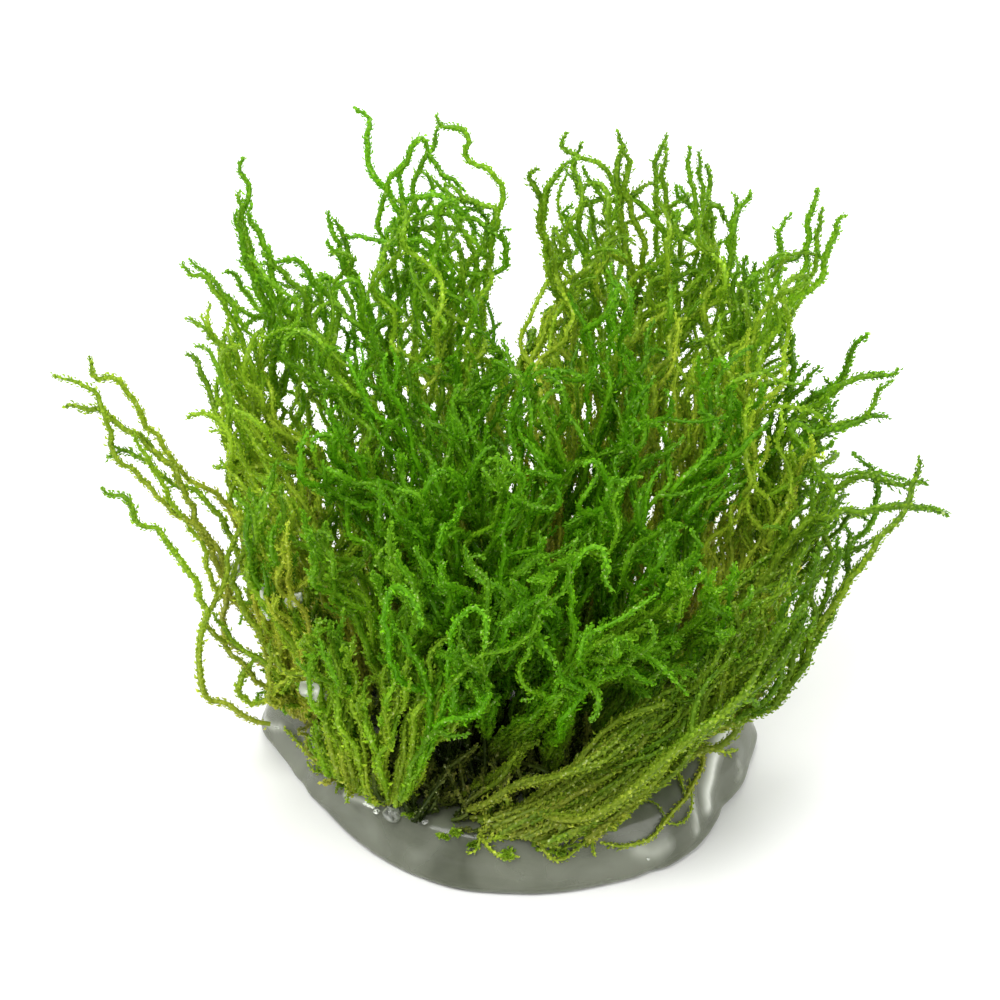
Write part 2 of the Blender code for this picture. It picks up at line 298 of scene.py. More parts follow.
# Bits of gel: the photograph's pixel, half sizes (millimetres), how milky, and the moss that they cling to.
# Then how near a pixel that moss is and how deep they sit, and how they are turned, lumpy and patchy.
GEL_BITS = (
    ((392, 814), (1.05, 1.0, 0.95), 0.1, None), ((372, 805), (0.55, 0.35, 0.35), 0.9, None),
    ((377, 811), (0.35, 0.5, 0.3), 0.6, None), ((366, 803), (0.35, 0.25, 0.25), 0.7, None),
    ((353, 797), (0.8, 0.2, 0.15), 0.5, None), ((279, 728), (0.6, 0.2, 0.12), 0.5, None),
    ((648, 859), (0.25, 0.2, 0.2), 0.3, None), ((425, 822), (0.4, 0.3, 0.25), 0.3, None),
    ((262, 598), (0.65, 0.25, 2.2), 0.3, "left"), ((297, 600), (0.75, 0.25, 1.1), 0.4, "left"),
    ((311, 690), (0.8, 0.3, 1.3), 0.3, "front_left"), ((217, 562), (0.6, 0.3, 1.0), 0.4, "far_left"),
    ((237, 570), (0.55, 0.3, 1.1), 0.4, "far_left"), ((322, 700), (0.8, 0.3, 0.8), 0.35, "front_left"),
)
CLING_GAP = 6
CLING_DEPTH = 0.5 * MM
BIT_SUNK = 0.9
BIT_GRAIN = (1.3, 2)
BIT_PATCHES = 3
BIT_SWINGS = ((0.2, 2.3), (0.3, 1.7), (0.8, 3.1))
FILM_LUMPS = 0.9
BEAD_LUMPS = (0.06, 0.6)

# How a routed shoot joins a lock below it: how far down at least, how many points of the lock's line it
# needs, and how much a fall counts beside a gap
JOIN_BELOW = 3 * MM
JOIN_POINTS = 4
JOIN_FALL = 0.3

# Shoots that the photograph shows one by one: their points and step, their longest fork, and the looks and
# sizes of the straw-coloured ones left of and below a pixel, of those nearer than a depth (millimetres),
# and of the others, which take after their group, or after the right one below a row of pixels
SINGLE_POINTS = 12
SINGLE_STEP = 0.5 * MM
SINGLE_FORK = 2.5
STRAW_EDGE = (305, 585)
STRAW_LOOK = {"shade": 0.7, "age": 0.1}
STRAW_SIZE = 1.15
FRONT_DEPTH = -16
FRONT_LOOK = {"shade": 0.62}
FRONT_SIZE = 0.95
LOW_RIGHT = 395
WIDE_GROUPS = ("far_left", "right")
WIDE_SIZE = 1.3
OTHER_SIZE = 1.1
OTHER_OLIVE = 0.75
PALEST_OTHER = 0.85

# Where each of them starts and ends (millimetres along Y), and the pixels that it passes, foot to tip
SINGLE_SHOOTS = (
    (26, 30, (412, 300), (407, 262), (403, 232), (401, 213), (392, 199), (383, 187), (372, 172),
     (367, 158), (368, 140), (369, 124), (363, 114), (357, 107)),
    (28, 31, (452, 300), (470, 264), (489, 237), (496, 212), (505, 193), (498, 180), (486, 169),
     (471, 163), (466, 153), (468, 140), (462, 130), (450, 127), (441, 124), (436, 115)),
    (29, 31, (418, 270), (417, 215), (413, 192), (415, 177), (423, 163), (430, 152), (435, 138),
     (440, 127)),
    (26, 29, (390, 300), (386, 262), (381, 238), (379, 220), (383, 199), (388, 183), (398, 172),
     (407, 160), (412, 146), (420, 138), (428, 148), (434, 161), (442, 176), (454, 180), (466, 190)),
    (27, 28, (412, 262), (406, 225), (402, 200), (400, 182), (403, 164), (411, 151)),
    (27, 25, (430, 300), (450, 282), (472, 275), (494, 273), (506, 265), (507, 250), (500, 237),
     (502, 229), (509, 229)),
    (27, 28, (478, 345), (484, 310), (486, 280), (491, 250), (496, 226), (496, 208), (484, 206),
     (470, 201), (455, 188), (444, 186)),
    (26, 29, (440, 330), (438, 290), (436, 250), (440, 215), (452, 199), (465, 199), (478, 208),
     (490, 224)),
    (27, 27, (398, 300), (392, 255), (396, 228), (412, 217), (436, 214), (458, 216), (478, 222),
     (494, 232), (505, 244)),
    (28, 28, (446, 310), (440, 262), (424, 240), (408, 226), (404, 208), (416, 196), (436, 196),
     (456, 206), (470, 222), (478, 240)),
    (28, 28, (470, 300), (476, 262), (468, 238), (450, 228), (430, 226), (410, 232), (392, 230)),
    (24, 24, (366, 340), (356, 295), (346, 265), (337, 242), (331, 226), (327, 210)),
    (24, 25, (372, 330), (358, 285), (350, 262), (344, 240), (337, 219)),
    (23, 24, (372, 320), (356, 285), (342, 264), (334, 250), (327, 240)),
    (24, 26, (452, 275), (425, 243), (400, 242), (380, 241), (360, 238), (347, 235), (342, 226)),
    (25, 25, (460, 320), (440, 262), (418, 250), (402, 243), (394, 226), (396, 219)),
    (18, 20, (292, 340), (272, 292), (256, 265), (247, 240), (243, 216), (246, 200), (250, 188),
     (244, 177), (240, 167), (243, 156)),
    (18, 18, (272, 320), (254, 275), (246, 245), (241, 226), (240, 210), (239, 193)),
    (17, 17, (270, 325), (252, 280), (243, 250), (238, 228), (236, 211)),
    (18, 18, (298, 340), (280, 297), (270, 265), (266, 246), (258, 231), (249, 222), (252, 206)),
    (20, 18, (332, 350), (323, 308), (314, 282), (302, 265), (288, 259), (273, 262), (262, 265)),
    (18, 18, (318, 350), (306, 300), (290, 280), (279, 270), (268, 258), (261, 254)),
    (12, 13, (256, 350), (236, 314), (222, 293), (214, 280), (204, 273), (196, 263), (189, 260)),
    (12, 12, (244, 345), (224, 305), (212, 286), (203, 276), (194, 277), (188, 270), (183, 263)),
    (10, 9, (240, 400), (226, 362), (212, 336), (200, 324), (187, 320)),
    (4, 6, (238, 480), (224, 434), (211, 398), (203, 374), (195, 360), (187, 353)),
    (4, 6, (245, 440), (228, 395), (216, 364), (206, 348), (196, 345)),
    (0, 2, (228, 640), (227, 600), (222, 560), (205, 532), (181, 517), (163, 503), (151, 488), (138, 475),
     (121, 462), (112, 448), (109, 430), (106, 415), (98, 400), (88, 386), (72, 380), (52, 378)),
    (4, 6, (262, 600), (248, 560), (238, 525), (221, 498), (204, 487), (183, 475), (172, 458), (160, 441),
     (149, 428), (140, 413), (132, 399), (124, 385), (113, 378), (98, 380), (93, 370), (88, 358)),
    (0, 3, (235, 600), (216, 560), (201, 530), (190, 505), (182, 485), (171, 466), (156, 452), (138, 437),
     (119, 424), (106, 413), (90, 410), (78, 405), (65, 405)),
    (2, 2, (240, 560), (222, 520), (200, 495), (178, 484), (161, 477), (149, 462), (137, 455), (122, 452),
     (106, 456)),
    (1, 0, (216, 590), (203, 545), (184, 520), (169, 498), (160, 478), (148, 460), (140, 446), (134, 436)),
    (-8, -2, (206, 622), (217, 600), (226, 576), (230, 551), (239, 529), (254, 511), (262, 495)),
    (-6, -4, (280, 665), (260, 636), (246, 612), (235, 590), (234, 572), (244, 550), (250, 530)),
    (-8, -8, (300, 668), (282, 684), (266, 698), (250, 705), (241, 693), (241, 677), (249, 664),
     (262, 657)),
    (-8, -7, (272, 668), (250, 655), (238, 645), (226, 632), (214, 614)),
    (28, 28, (628, 262), (622, 216), (616, 190), (607, 171), (595, 161), (581, 158), (570, 154),
     (563, 146), (566, 132)),
    (30, 30, (602, 290), (597, 246), (590, 209), (581, 193), (574, 178), (573, 166), (578, 154),
     (581, 142)),
    (27, 27, (574, 340), (556, 290), (546, 250), (543, 216), (547, 191), (556, 174), (567, 164),
     (577, 158)),
    (27, 27, (574, 300), (552, 255), (541, 230), (540, 204), (538, 188), (530, 180), (529, 173),
     (537, 167)),
    (26, 26, (594, 310), (585, 262), (578, 241), (568, 223), (562, 212), (573, 205)),
    (27, 27, (600, 330), (594, 286), (588, 256), (581, 231), (578, 213), (589, 203), (605, 197),
     (619, 190)),
    (27, 27, (625, 240), (612, 212), (601, 196), (590, 180), (583, 167)),
    (26, 27, (634, 290), (624, 240), (620, 205), (618, 182), (618, 163), (622, 148), (620, 132)),
    (26, 26, (644, 250), (629, 206), (624, 188), (629, 173), (627, 159), (621, 147)),
    (26, 27, (676, 270), (660, 228), (646, 208), (631, 200), (619, 203)),
    (30, 31, (664, 300), (659, 260), (656, 230), (657, 206), (655, 180), (656, 163), (661, 150),
     (665, 135)),
    (29, 30, (680, 260), (670, 213), (664, 191), (663, 172), (665, 157), (666, 146)),
    (27, 27, (704, 265), (698, 226), (692, 206), (681, 198), (674, 195), (676, 184)),
    (26, 26, (706, 265), (698, 222), (694, 196), (691, 176), (687, 161), (690, 146)),
    (26, 26, (716, 300), (708, 250), (704, 211), (701, 182), (699, 165), (701, 152)),
    (28, 28, (718, 270), (712, 225), (708, 197), (711, 180), (704, 164)),
    (26, 28, (705, 250), (699, 222), (688, 232), (676, 236), (664, 234)),
    (24, 26, (722, 310), (730, 265), (734, 240), (732, 223), (737, 208), (734, 193)),
    (24, 25, (726, 275), (730, 241), (736, 217), (744, 203), (751, 192)),
    (26, 26, (704, 240), (708, 210), (716, 203), (723, 214), (729, 224)),
    (24, 24, (744, 310), (745, 282), (745, 257)),
    (23, 23, (748, 310), (753, 282), (755, 263)),
    (24, 24, (742, 330), (762, 296), (779, 276), (781, 250), (780, 229), (783, 220), (791, 216)),
    (22, 22, (735, 310), (755, 276), (778, 262), (796, 259), (806, 247)),
    (20, 22, (768, 330), (788, 302), (800, 280), (808, 250), (808, 223), (813, 207), (818, 188)),
    (20, 21, (780, 325), (800, 300), (812, 275), (818, 246), (818, 226), (823, 208)),
    (18, 18, (760, 340), (790, 303), (812, 290), (820, 280), (826, 258), (833, 237), (838, 222),
     (846, 215)),
    (19, 19, (768, 345), (778, 325), (791, 317), (790, 304), (781, 299), (772, 303), (770, 316)),
    (16, 17, (785, 410), (793, 370), (790, 352), (794, 340), (786, 329), (775, 326)),
    (14, 14, (775, 440), (812, 398), (838, 384), (847, 366), (853, 347), (860, 340), (868, 334)),
    (13, 14, (780, 445), (815, 404), (836, 392), (845, 374), (850, 355), (858, 342)),
    (10, 10, (790, 430), (828, 396), (849, 381), (864, 375), (881, 378), (898, 368)),
    (12, 12, (780, 420), (799, 388), (812, 377), (818, 366)),
    (12, 12, (770, 420), (790, 385), (800, 372), (808, 364)),
    (6, 6, (770, 410), (811, 412), (836, 425), (854, 421), (866, 414), (875, 401), (882, 389), (891, 378)),
    (5, 6, (790, 425), (820, 432), (849, 424), (868, 418), (888, 414)),
    (6, 6, (800, 445), (822, 426), (828, 413), (830, 403)),
    (4, 4, (785, 480), (808, 454), (824, 448), (831, 441)),
    (2, 2, (760, 505), (800, 479), (838, 476), (868, 472), (885, 474), (903, 480)),
    (2, 2, (850, 545), (875, 515), (876, 496), (877, 480), (868, 466), (853, 454)),
    (0, 0, (820, 500), (866, 476), (894, 484), (912, 484), (926, 481)),
    (-12, -2, (780, 668), (812, 634), (832, 608), (852, 578), (868, 556), (884, 534), (896, 520),
     (908, 507), (911, 494), (913, 480), (917, 470), (922, 461)),
    (-4, -4, (770, 570), (800, 528), (832, 515), (862, 511), (886, 508), (911, 505), (930, 510),
     (948, 513)),
    (-8, -8, (842, 590), (848, 556), (850, 541), (846, 528)),
    (-10, -9, (818, 620), (831, 577), (838, 556), (838, 537)),
    (-12, -10, (812, 640), (813, 595), (818, 562), (822, 544)),
    (-14, -12, (796, 650), (803, 605), (812, 576), (815, 556)),
    (-16, -14, (775, 690), (781, 645), (782, 618), (790, 600), (801, 588)),
    (-6, -6, (800, 600), (830, 560), (848, 551), (866, 545), (880, 538)),
    (-22, -27, (404, 800), (418, 770), (432, 745), (440, 720), (447, 690), (449, 660), (452, 635),
     (458, 617), (470, 609), (483, 614), (488, 629), (484, 646)),
    (-24, -25, (478, 690), (485, 640), (487, 606), (489, 588), (482, 575), (470, 562), (464, 547)),
    (-25, -20, (450, 690), (474, 661), (504, 650), (529, 638), (537, 619), (545, 606), (562, 594),
     (568, 578), (570, 558), (574, 540)),
    (-23, -21, (520, 680), (532, 640), (536, 612), (540, 598), (549, 586), (557, 572)),
    (-22, -27, (402, 802), (416, 772), (430, 738), (444, 721), (462, 717), (477, 713), (485, 705),
     (488, 693)),
    (-22, -26, (400, 800), (412, 768), (426, 741), (439, 733), (452, 734), (466, 737)),
    (-14, -20, (488, 745), (489, 729), (492, 712), (497, 695)),
    (-14, -19, (486, 745), (484, 730), (481, 717), (478, 704)),
    (-14, -17, (514, 746), (524, 727), (528, 712), (531, 701)),
    (-21, -19, (574, 640), (571, 600), (572, 570), (582, 552), (597, 548), (608, 560), (603, 576),
     (612, 590)),
    (-23, -24, (400, 680), (388, 640), (385, 612), (388, 595), (398, 587), (409, 592), (415, 606),
     (421, 626)),
    (-22, -23, (406, 798), (420, 765), (428, 735), (430, 700), (424, 676), (414, 656), (403, 638),
     (392, 622)),
    (-14, -15, (270, 700), (272, 650), (279, 664), (290, 675), (305, 674), (316, 661), (320, 640),
     (316, 620)),
)

# Sheets of shoots that lie combed side by side, from the pad up: whose they are, how many, how olive,
# how old, how far they cross each other, and the lines that the sheet runs through, each the depth
# where it ends and its pixels, foot to tip. Then how far a shoot may start, end and stand off its line.
COMBED_SHEETS = (
    ("sweep", 3, 0.9, 0.15, 0.1,
     (-20, (456, 797), (474, 780), (492, 766), (510, 752), (526, 741), (545, 728), (575, 705), (612, 675)),
     (-20, (470, 802), (488, 788), (506, 774), (524, 760), (541, 748), (562, 732), (592, 708), (628, 680))),
    ("sweep", 62, 0.8, 0.05, 0.3,
     (-20, (470, 822), (520, 806), (566, 776), (604, 738), (640, 712), (684, 682), (722, 647), (750, 619),
      (778, 594)),
     (-17, (500, 838), (556, 812), (600, 784), (640, 756), (680, 726), (715, 700), (750, 672), (785, 642),
      (812, 610)),
     (-15, (545, 848), (596, 824), (634, 796), (668, 762), (698, 730), (734, 702), (776, 674), (812, 636),
      (848, 586))),
    ("sweep", 10, 0.9, 0.1, 0.3,
     (-21, (604, 836), (650, 790), (690, 750), (712, 700), (728, 650), (742, 600)),
     (-19, (580, 842), (626, 808), (662, 774), (694, 734), (716, 690), (738, 645), (762, 600))),
    ("front_right", 22, 0.3, 0.05, 0.3,
     (-27, (470, 764), (500, 736), (530, 709), (560, 682), (590, 654), (616, 630)),
     (-26, (486, 772), (518, 746), (550, 720), (582, 692), (612, 664), (640, 640))),
    ("front_right", 32, 0.35, 0.1, 0.5,
     (-22, (480, 768), (510, 740), (540, 712), (570, 684), (602, 654), (634, 622)),
     (-20, (520, 745), (548, 700), (578, 660), (612, 625), (645, 590), (675, 550)),
     (-20, (560, 742), (590, 702), (622, 665), (656, 635), (690, 600), (715, 560)),
     (-19, (600, 740), (630, 705), (662, 672), (696, 645), (730, 612), (762, 575))),
    ("left", 32, 1.0, 0.2, 0.6,
     (-3, (284, 714), (272, 670), (262, 630), (254, 590), (246, 545), (238, 500)),
     (-6, (300, 722), (292, 680), (286, 640), (280, 600), (270, 550), (262, 505)),
     (-9, (318, 730), (312, 690), (306, 650), (300, 610), (292, 560), (286, 520))),
    ("front_left", 38, 0.8, 0.08, 0.7,
     (-17, (326, 776), (312, 735), (304, 695), (300, 650), (296, 610)),
     (-19, (350, 790), (340, 750), (330, 710), (322, 665), (316, 625)),
     (-21, (378, 803), (370, 765), (360, 725), (352, 680), (348, 640)),
     (-22, (394, 808), (398, 770), (406, 735), (420, 695), (436, 660), (450, 625)),
     (-20, (404, 806), (420, 765), (440, 730), (462, 700), (480, 668))),
    ("front", 24, 0.1, 0.05, 0.8,
     (-17, (436, 738), (444, 700), (450, 660), (456, 620), (460, 590)),
     (-18, (476, 740), (482, 702), (490, 664), (498, 626), (504, 596)),
     (-18, (516, 742), (528, 702), (544, 664), (558, 628), (570, 596))),
    ("right_back", 26, 0.85, 0.22, 0.7,
     (3, (690, 690), (704, 640), (712, 580), (716, 520), (722, 460), (728, 400)),
     (3, (722, 690), (740, 635), (750, 575), (758, 515), (764, 455), (770, 400)),
     (1, (750, 690), (776, 635), (790, 575), (798, 520), (804, 465), (810, 420))),
    ("back_right", 24, 0.9, 0.24, 0.7,
     (15, (590, 650), (600, 580), (606, 510), (612, 440), (620, 370), (626, 310)),
     (15, (650, 650), (664, 580), (674, 510), (682, 440), (690, 370), (696, 310)),
     (13, (690, 660), (706, 590), (718, 520), (728, 450), (736, 380), (742, 330))),
    ("left_back", 16, 0.5, 0.2, 0.7,
     (4, (300, 690), (306, 620), (312, 560), (318, 500), (322, 440)),
     (4, (345, 690), (350, 620), (356, 560), (360, 500), (364, 440))),
)
SHEET_STARTS = (0, 0.1)
SHEET_ENDS = (0.5, 1.0)
SHEET_AWAY = np.array((0.2, -0.5, 0.8))
SHEET_OFFSETS = (-1.0, 1.3)
SHEET_SWINGS = (0.25, 0.5)
SHEET_CROSSING = 0.4
SHEET_FORK = 4.0
SHEET_SIZES = (0.8, 1.1)

# Shoots that lie on the gel: their looks, and the thickness and the photograph's pixels of each
LYING_LIFT = 0.35 * MM
LYING_POINTS = 8
LYING_TINTS = (0.1, 0.7)
LYING_AGE = 0.25
LYING_SHOOTS = (
    (0.9, (690, 735), (701, 750), (701, 768), (692, 784), (684, 798), (672, 811), (661, 824), (651, 837),
     (636, 843), (618, 846), (602, 842)),
    (0.5, (688, 780), (690, 800), (688, 813), (680, 823), (669, 824), (661, 818)),
    (0.4, (628, 812), (640, 804), (652, 803), (660, 810), (664, 819)),
    (0.6, (676, 752), (677, 768), (681, 786), (684, 800)),
    (0.7, (697, 742), (709, 749), (722, 753), (736, 751)),
    (0.7, (705, 738), (717, 729), (727, 724), (737, 720)),
    (0.9, (512, 835), (530, 832), (540, 845), (549, 856), (560, 860), (572, 852), (584, 842), (596, 832)),
    (0.8, (480, 832), (487, 845), (498, 854), (510, 858), (518, 855)),
    (0.7, (480, 838), (477, 850), (468, 852)),
    (0.7, (590, 828), (592, 842), (594, 855)),
    (0.7, (338, 772), (340, 783), (339, 793)),
    (0.7, (320, 765), (308, 752), (297, 739), (286, 728)),
    (0.6, (330, 770), (318, 772), (310, 762)),
)

# The shoot that hangs over the gel's edge at the left and turns up again: its depths, look and pixels
HANGING_DEPTHS = (-7, -12)
HANGING_LOOK = {"olive": 0.85, "size": 1.3, "shade": 0.55, "age": 0.0}
HANGING_FORKS = 2
HANGING_FORK = 7.0
HANGING_POINTS = 200
HANGING_SHOOT = (
    (270, 724), (258, 722), (242, 715), (226, 703), (209, 700), (202, 686), (199, 661), (200, 640),
    (203, 626), (208, 612), (199, 598), (198, 583), (190, 574), (178, 557), (166, 541), (157, 528),
    (146, 527), (136, 522), (133, 511), (128, 500), (119, 494), (110, 496), (102, 488),
)

# Star-like young tufts on the gel, in the photograph's pixels, and their size (millimetres) and looks
ROSETTES = (
    (411, 819), (386, 804), (396, 805), (443, 841), (455, 838), (473, 850), (508, 858), (560, 858),
    (345, 789), (322, 772),
)
ROSETTE_SHOOTS = 9
ROSETTE_REACH = 0.95
ROSETTE_LIFT = np.array((0.0, 0.0, 0.5)) * MM
ROSETTE_LEAN = (0.8, 0.6)
ROSETTE_OLIVE = 0.9
ROSETTE_AGE = 0.1

# The moss's colours by age, young to old, where it is green and where it is olive
# Their darkest, oldest end is also where the front hollow's painted shade takes the colour
GREEN_MOSS = ((0.0, (0.17, 0.47, 0.010)), (0.15, (0.18, 0.53, 0.006)), (0.5, (0.145, 0.44, 0.004)),
              (0.77, (0.20, 0.35, 0.012)), (0.93, (0.055, 0.10, 0.008)), (1.0, (0.024, 0.044, 0.005)))
OLIVE_MOSS = ((0.0, (0.20, 0.40, 0.018)), (0.2, (0.44, 0.63, 0.032)), (0.5, (0.58, 0.63, 0.064)),
              (0.82, (0.50, 0.49, 0.095)), (0.93, (0.095, 0.135, 0.016)), (1.0, (0.028, 0.048, 0.006)))

# What its colour is multiplied by, for each leaf, for the grain on it, and from a leaf's foot to its tip
LEAF_SHADES = ((0.0, (0.62, 0.66, 0.64)), (1.0, (1.38, 1.30, 1.35)))
MOSS_GRAIN = ((0.32, (0.7, 0.76, 0.76)), (0.55, (1.0, 1.0, 1.0)), (0.68, (1.28, 1.19, 1.55)))
LEAF_FADE = ((0.0, (0.80, 0.84, 0.8)), (0.5, (1.0, 1.0, 1.0)), (1.0, (1.12, 1.04, 1.4)))
GRAIN_SCALE = 2200

# Painted glints, partly pale drops and leaf tips and partly painted wet highlights: where the grain has
# them, how strongly, and their colour. Then how much light leaves let by.
PAINTED_GLINTS = ((0.67, (0.0, 0.0, 0.0)), (0.74, (0.62, 0.62, 0.62)))
PAINTED_GLINT_COLOUR = (0.80, 0.88, 0.42, 1.0)
LEAF_GLOW = 0.42

# The gels: dull and pale patches, roughness and clearness. Then the pale colour of their milky bits and of
# the highlights painted along the pad's ridges, and their patches' size.
PAD_GEL = ((0.185, 0.205, 0.135), (0.36, 0.385, 0.285), 0.24, 0.62)
BEAD_GEL = ((0.88, 0.92, 0.84), (0.99, 1.0, 0.97), 0.04, 1.0)
FILM_GEL = ((0.44, 0.47, 0.36), (0.66, 0.70, 0.56), 0.5, 0.5)
MILK_AND_HIGHLIGHT_GEL = (0.88, 0.91, 0.82, 1.0)
GEL_CLOUDS = 95
GEL_INDEX = 1.336

# The studio
FLOOR_SIZE = 3.0
FLOOR_COLOUR = (0.86, 0.86, 0.85, 1.0)
WORLD_LIGHT = 0.78
AIM = (0.0, 0.0, 0.035)
LAMPS = (("key", (-0.35, -0.35, 0.9), 0.6, 7.0), ("fill", (0.7, -0.5, 0.5), 0.7, 3.0),
         ("back", (0.1, 0.8, 0.7), 0.7, 7.0))


def at_pixel(pixel, depth):
    """The place that the photograph shows at a pixel, in the upright plane at a depth."""
    way = pixel_way(pixel)
    return CAMERA_PLACE + way * ((depth * MM - CAMERA_PLACE[1]) / way[1])


def pixel_way(pixel):
    """The direction in which the camera sees a pixel."""
    half = PHOTO_WIDTH / 2
    across = (pixel[0] - half) / PHOTO_WIDTH * SENSOR_WIDTH / CAMERA_LENS
    up = (half - pixel[1]) / PHOTO_WIDTH * SENSOR_WIDTH / CAMERA_LENS
    down, level = math.sin(CAMERA_PITCH), math.cos(CAMERA_PITCH)
    return np.array((across, level + up * down, up * level - down))


def at_height(pixel, height):
    """The place that the photograph shows at a pixel, in the level plane at a height."""
    way = pixel_way(pixel)
    return CAMERA_PLACE + way * ((height - CAMERA_PLACE[2]) / way[2])


def to_pixels(run):
    """The photograph's pixels at which places show."""
    off = run - CAMERA_PLACE
    down, level = math.sin(CAMERA_PITCH), math.cos(CAMERA_PITCH)
    ahead = off[:, 1] * level - off[:, 2] * down
    up = off[:, 1] * down + off[:, 2] * level
    scale = PHOTO_WIDTH * CAMERA_LENS / SENSOR_WIDTH
    half = PHOTO_WIDTH / 2
    return np.stack([half + off[:, 0] / ahead * scale, half - up / ahead * scale], axis=1)


def inside(pixels, outline):
    """Which pixels lie inside a closed outline."""
    corners = np.asarray(outline, float)
    ends = np.roll(corners, -1, axis=0)
    x, y = pixels[:, :1], pixels[:, 1:]
    spans = (corners[:, 1] > y) != (ends[:, 1] > y)
    rise = np.where(ends[:, 1] == corners[:, 1], 1.0, ends[:, 1] - corners[:, 1])
    cross = corners[:, 0] + (y - corners[:, 1]) / rise * (ends[:, 0] - corners[:, 0])
    return (np.sum(spans & (x < cross), axis=1) % 2) == 1


def smooth_run(points, count):
    """A run of places read evenly from a smooth curve through the given ones."""
    points = np.asarray(points, float)
    last = len(points) - 1
    place = np.linspace(0, last, count)
    index = np.minimum(place.astype(int), last - 1)
    share = (place - index)[:, None]
    before = points[np.maximum(index - 1, 0)]
    start = points[index]
    end = points[index + 1]
    after = points[np.minimum(index + 2, last)]
    lean_in = (end - before) * 0.5
    lean_out = (after - start) * 0.5
    cube = (start - end) * 2 + lean_in + lean_out
    square = (end - start) * 3 - lean_in * 2 - lean_out
    return start + lean_in * share + square * share ** 2 + cube * share ** 3


def length_along(run):
    """How far along a route its points are."""
    steps = np.linalg.norm(np.diff(run, axis=0), axis=1)
    return np.concatenate(([0.0], np.cumsum(steps)))


def read_rows(places, along, rows):
    """The rows read at places along a route."""
    return np.stack([np.interp(places, along, rows[:, axis]) for axis in range(3)], axis=1)


def even_run(run, step):
    """The same route with its points a fixed step apart, and how far along it they are."""
    along = length_along(run)
    places = np.linspace(0.0, along[-1], max(3, int(round(along[-1] / step)) + 1))
    return read_rows(places, along, run), places


def unit(rows):
    """Rows as directions."""
    return rows / np.maximum(np.linalg.norm(rows, axis=-1, keepdims=True), 1e-12)


def axes_along(run):
    """The direction of a route at each point, and two steady sideways axes."""
    ahead = unit(np.gradient(run, axis=0))
    first = np.cross(ahead[0], (0.0, 0.0, 1.0) if abs(ahead[0][2]) < 0.9 else (1.0, 0.0, 0.0))
    sides = [first / np.linalg.norm(first)]
    for way in ahead[1:]:
        side = sides[-1] - way * np.dot(sides[-1], way)
        sides.append(side / np.linalg.norm(side))
    side = np.array(sides)
    return ahead, side, np.cross(ahead, side)


def foot_patch(shape):
    """The corners of the flat end of a lock's solid that is nearest the pad's middle."""
    flat = math.radians(0.6)
    found = []
    left = set(shape.faces)
    while left:
        patch = [left.pop()]
        for face in patch:
            for edge in face.edges:
                for other in edge.link_faces:
                    if other in left and face.normal.angle(other.normal, 1.0) < flat:
                        left.discard(other)
                        patch.append(other)
        if len(patch) > 2:
            corners = {vert for face in patch for vert in face.verts}
            middle = sum((vert.co for vert in corners), Vector()) / len(corners)
            found.append((middle.length, corners))
    return min(found, key=lambda row: row[0])[1]


def lock_line(name):
    """The middle line of a lock, foot to tip, read from the rings of its solid."""
    shape = bmesh.new()
    shape.from_mesh(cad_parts[name].data)
    bmesh.ops.remove_doubles(shape, verts=shape.verts[:], dist=TOUCHING)
    shape.normal_update()
    ring = foot_patch(shape)
    seen = set(ring)
    middles = []
    while ring:
        middles.append(tuple(sum((vert.co for vert in ring), Vector()) / len(ring)))
        ring = {edge.other_vert(vert) for vert in ring for edge in vert.link_edges} - seen
        seen |= ring
    shape.free()
    return smooth_run(middles, LINE_POINTS)


def leaf_template():
    """One leaf, unit length along +Y: a kite folded along its midrib, its tip bent out."""
    shape = bmesh.new()
    bmesh.ops.create_circle(shape, cap_ends=True, segments=4, radius=0.5)
    shape.verts.ensure_lookup_table()
    by_height = sorted(shape.verts, key=lambda vert: vert.co.y)
    bmesh.ops.connect_verts(shape, verts=[by_height[0], by_height[-1]])
    bmesh.ops.translate(shape, verts=shape.verts[:], vec=(0.0, 0.5, 0.0))
    bmesh.ops.translate(shape, verts=by_height[1:3], vec=LEAF_FOLD)
    bmesh.ops.translate(shape, verts=by_height[3:], vec=LEAF_TIP_BEND)
    shape.verts.index_update()
    places = np.array([vert.co[:] for vert in shape.verts])
    faces = np.array([[vert.index for vert in face.verts] for face in shape.faces])
    shape.free()
    return places, faces


LEAF_PLACES, LEAF_FACES = leaf_template()


def hollow_shade(run):
    """How much painted shade the front hollow lays on the places of a route, from 0 up to its strength."""
    x, y, z = (run / MM).T
    near = np.exp(-((x - HOLLOW_MIDDLE) / HOLLOW_SPREAD) ** 4)
    low = np.clip((HOLLOW_SHADE_HEIGHT - z) / HOLLOW_FADE, 0, 1)
    return HOLLOW_SHADE_STRENGTH * near * low * np.clip((y - HOLLOW_MOUTH) / 2, 0, 1) * (y < 0)


def olive_share(run):
    """How near the pad the places of a route are, 0 to 1."""
    return np.clip(OLIVE_RISE - OLIVE_RISE * run[:, 2] / (OLIVE_HEIGHT * MM), 0, 1)


def taper(to_tip, size):
    """How thick a stem is near its tip, as a share."""
    return np.clip(TIP_SHARE + to_tip / (TAPER * size), TIP_SHARE, 1.0)


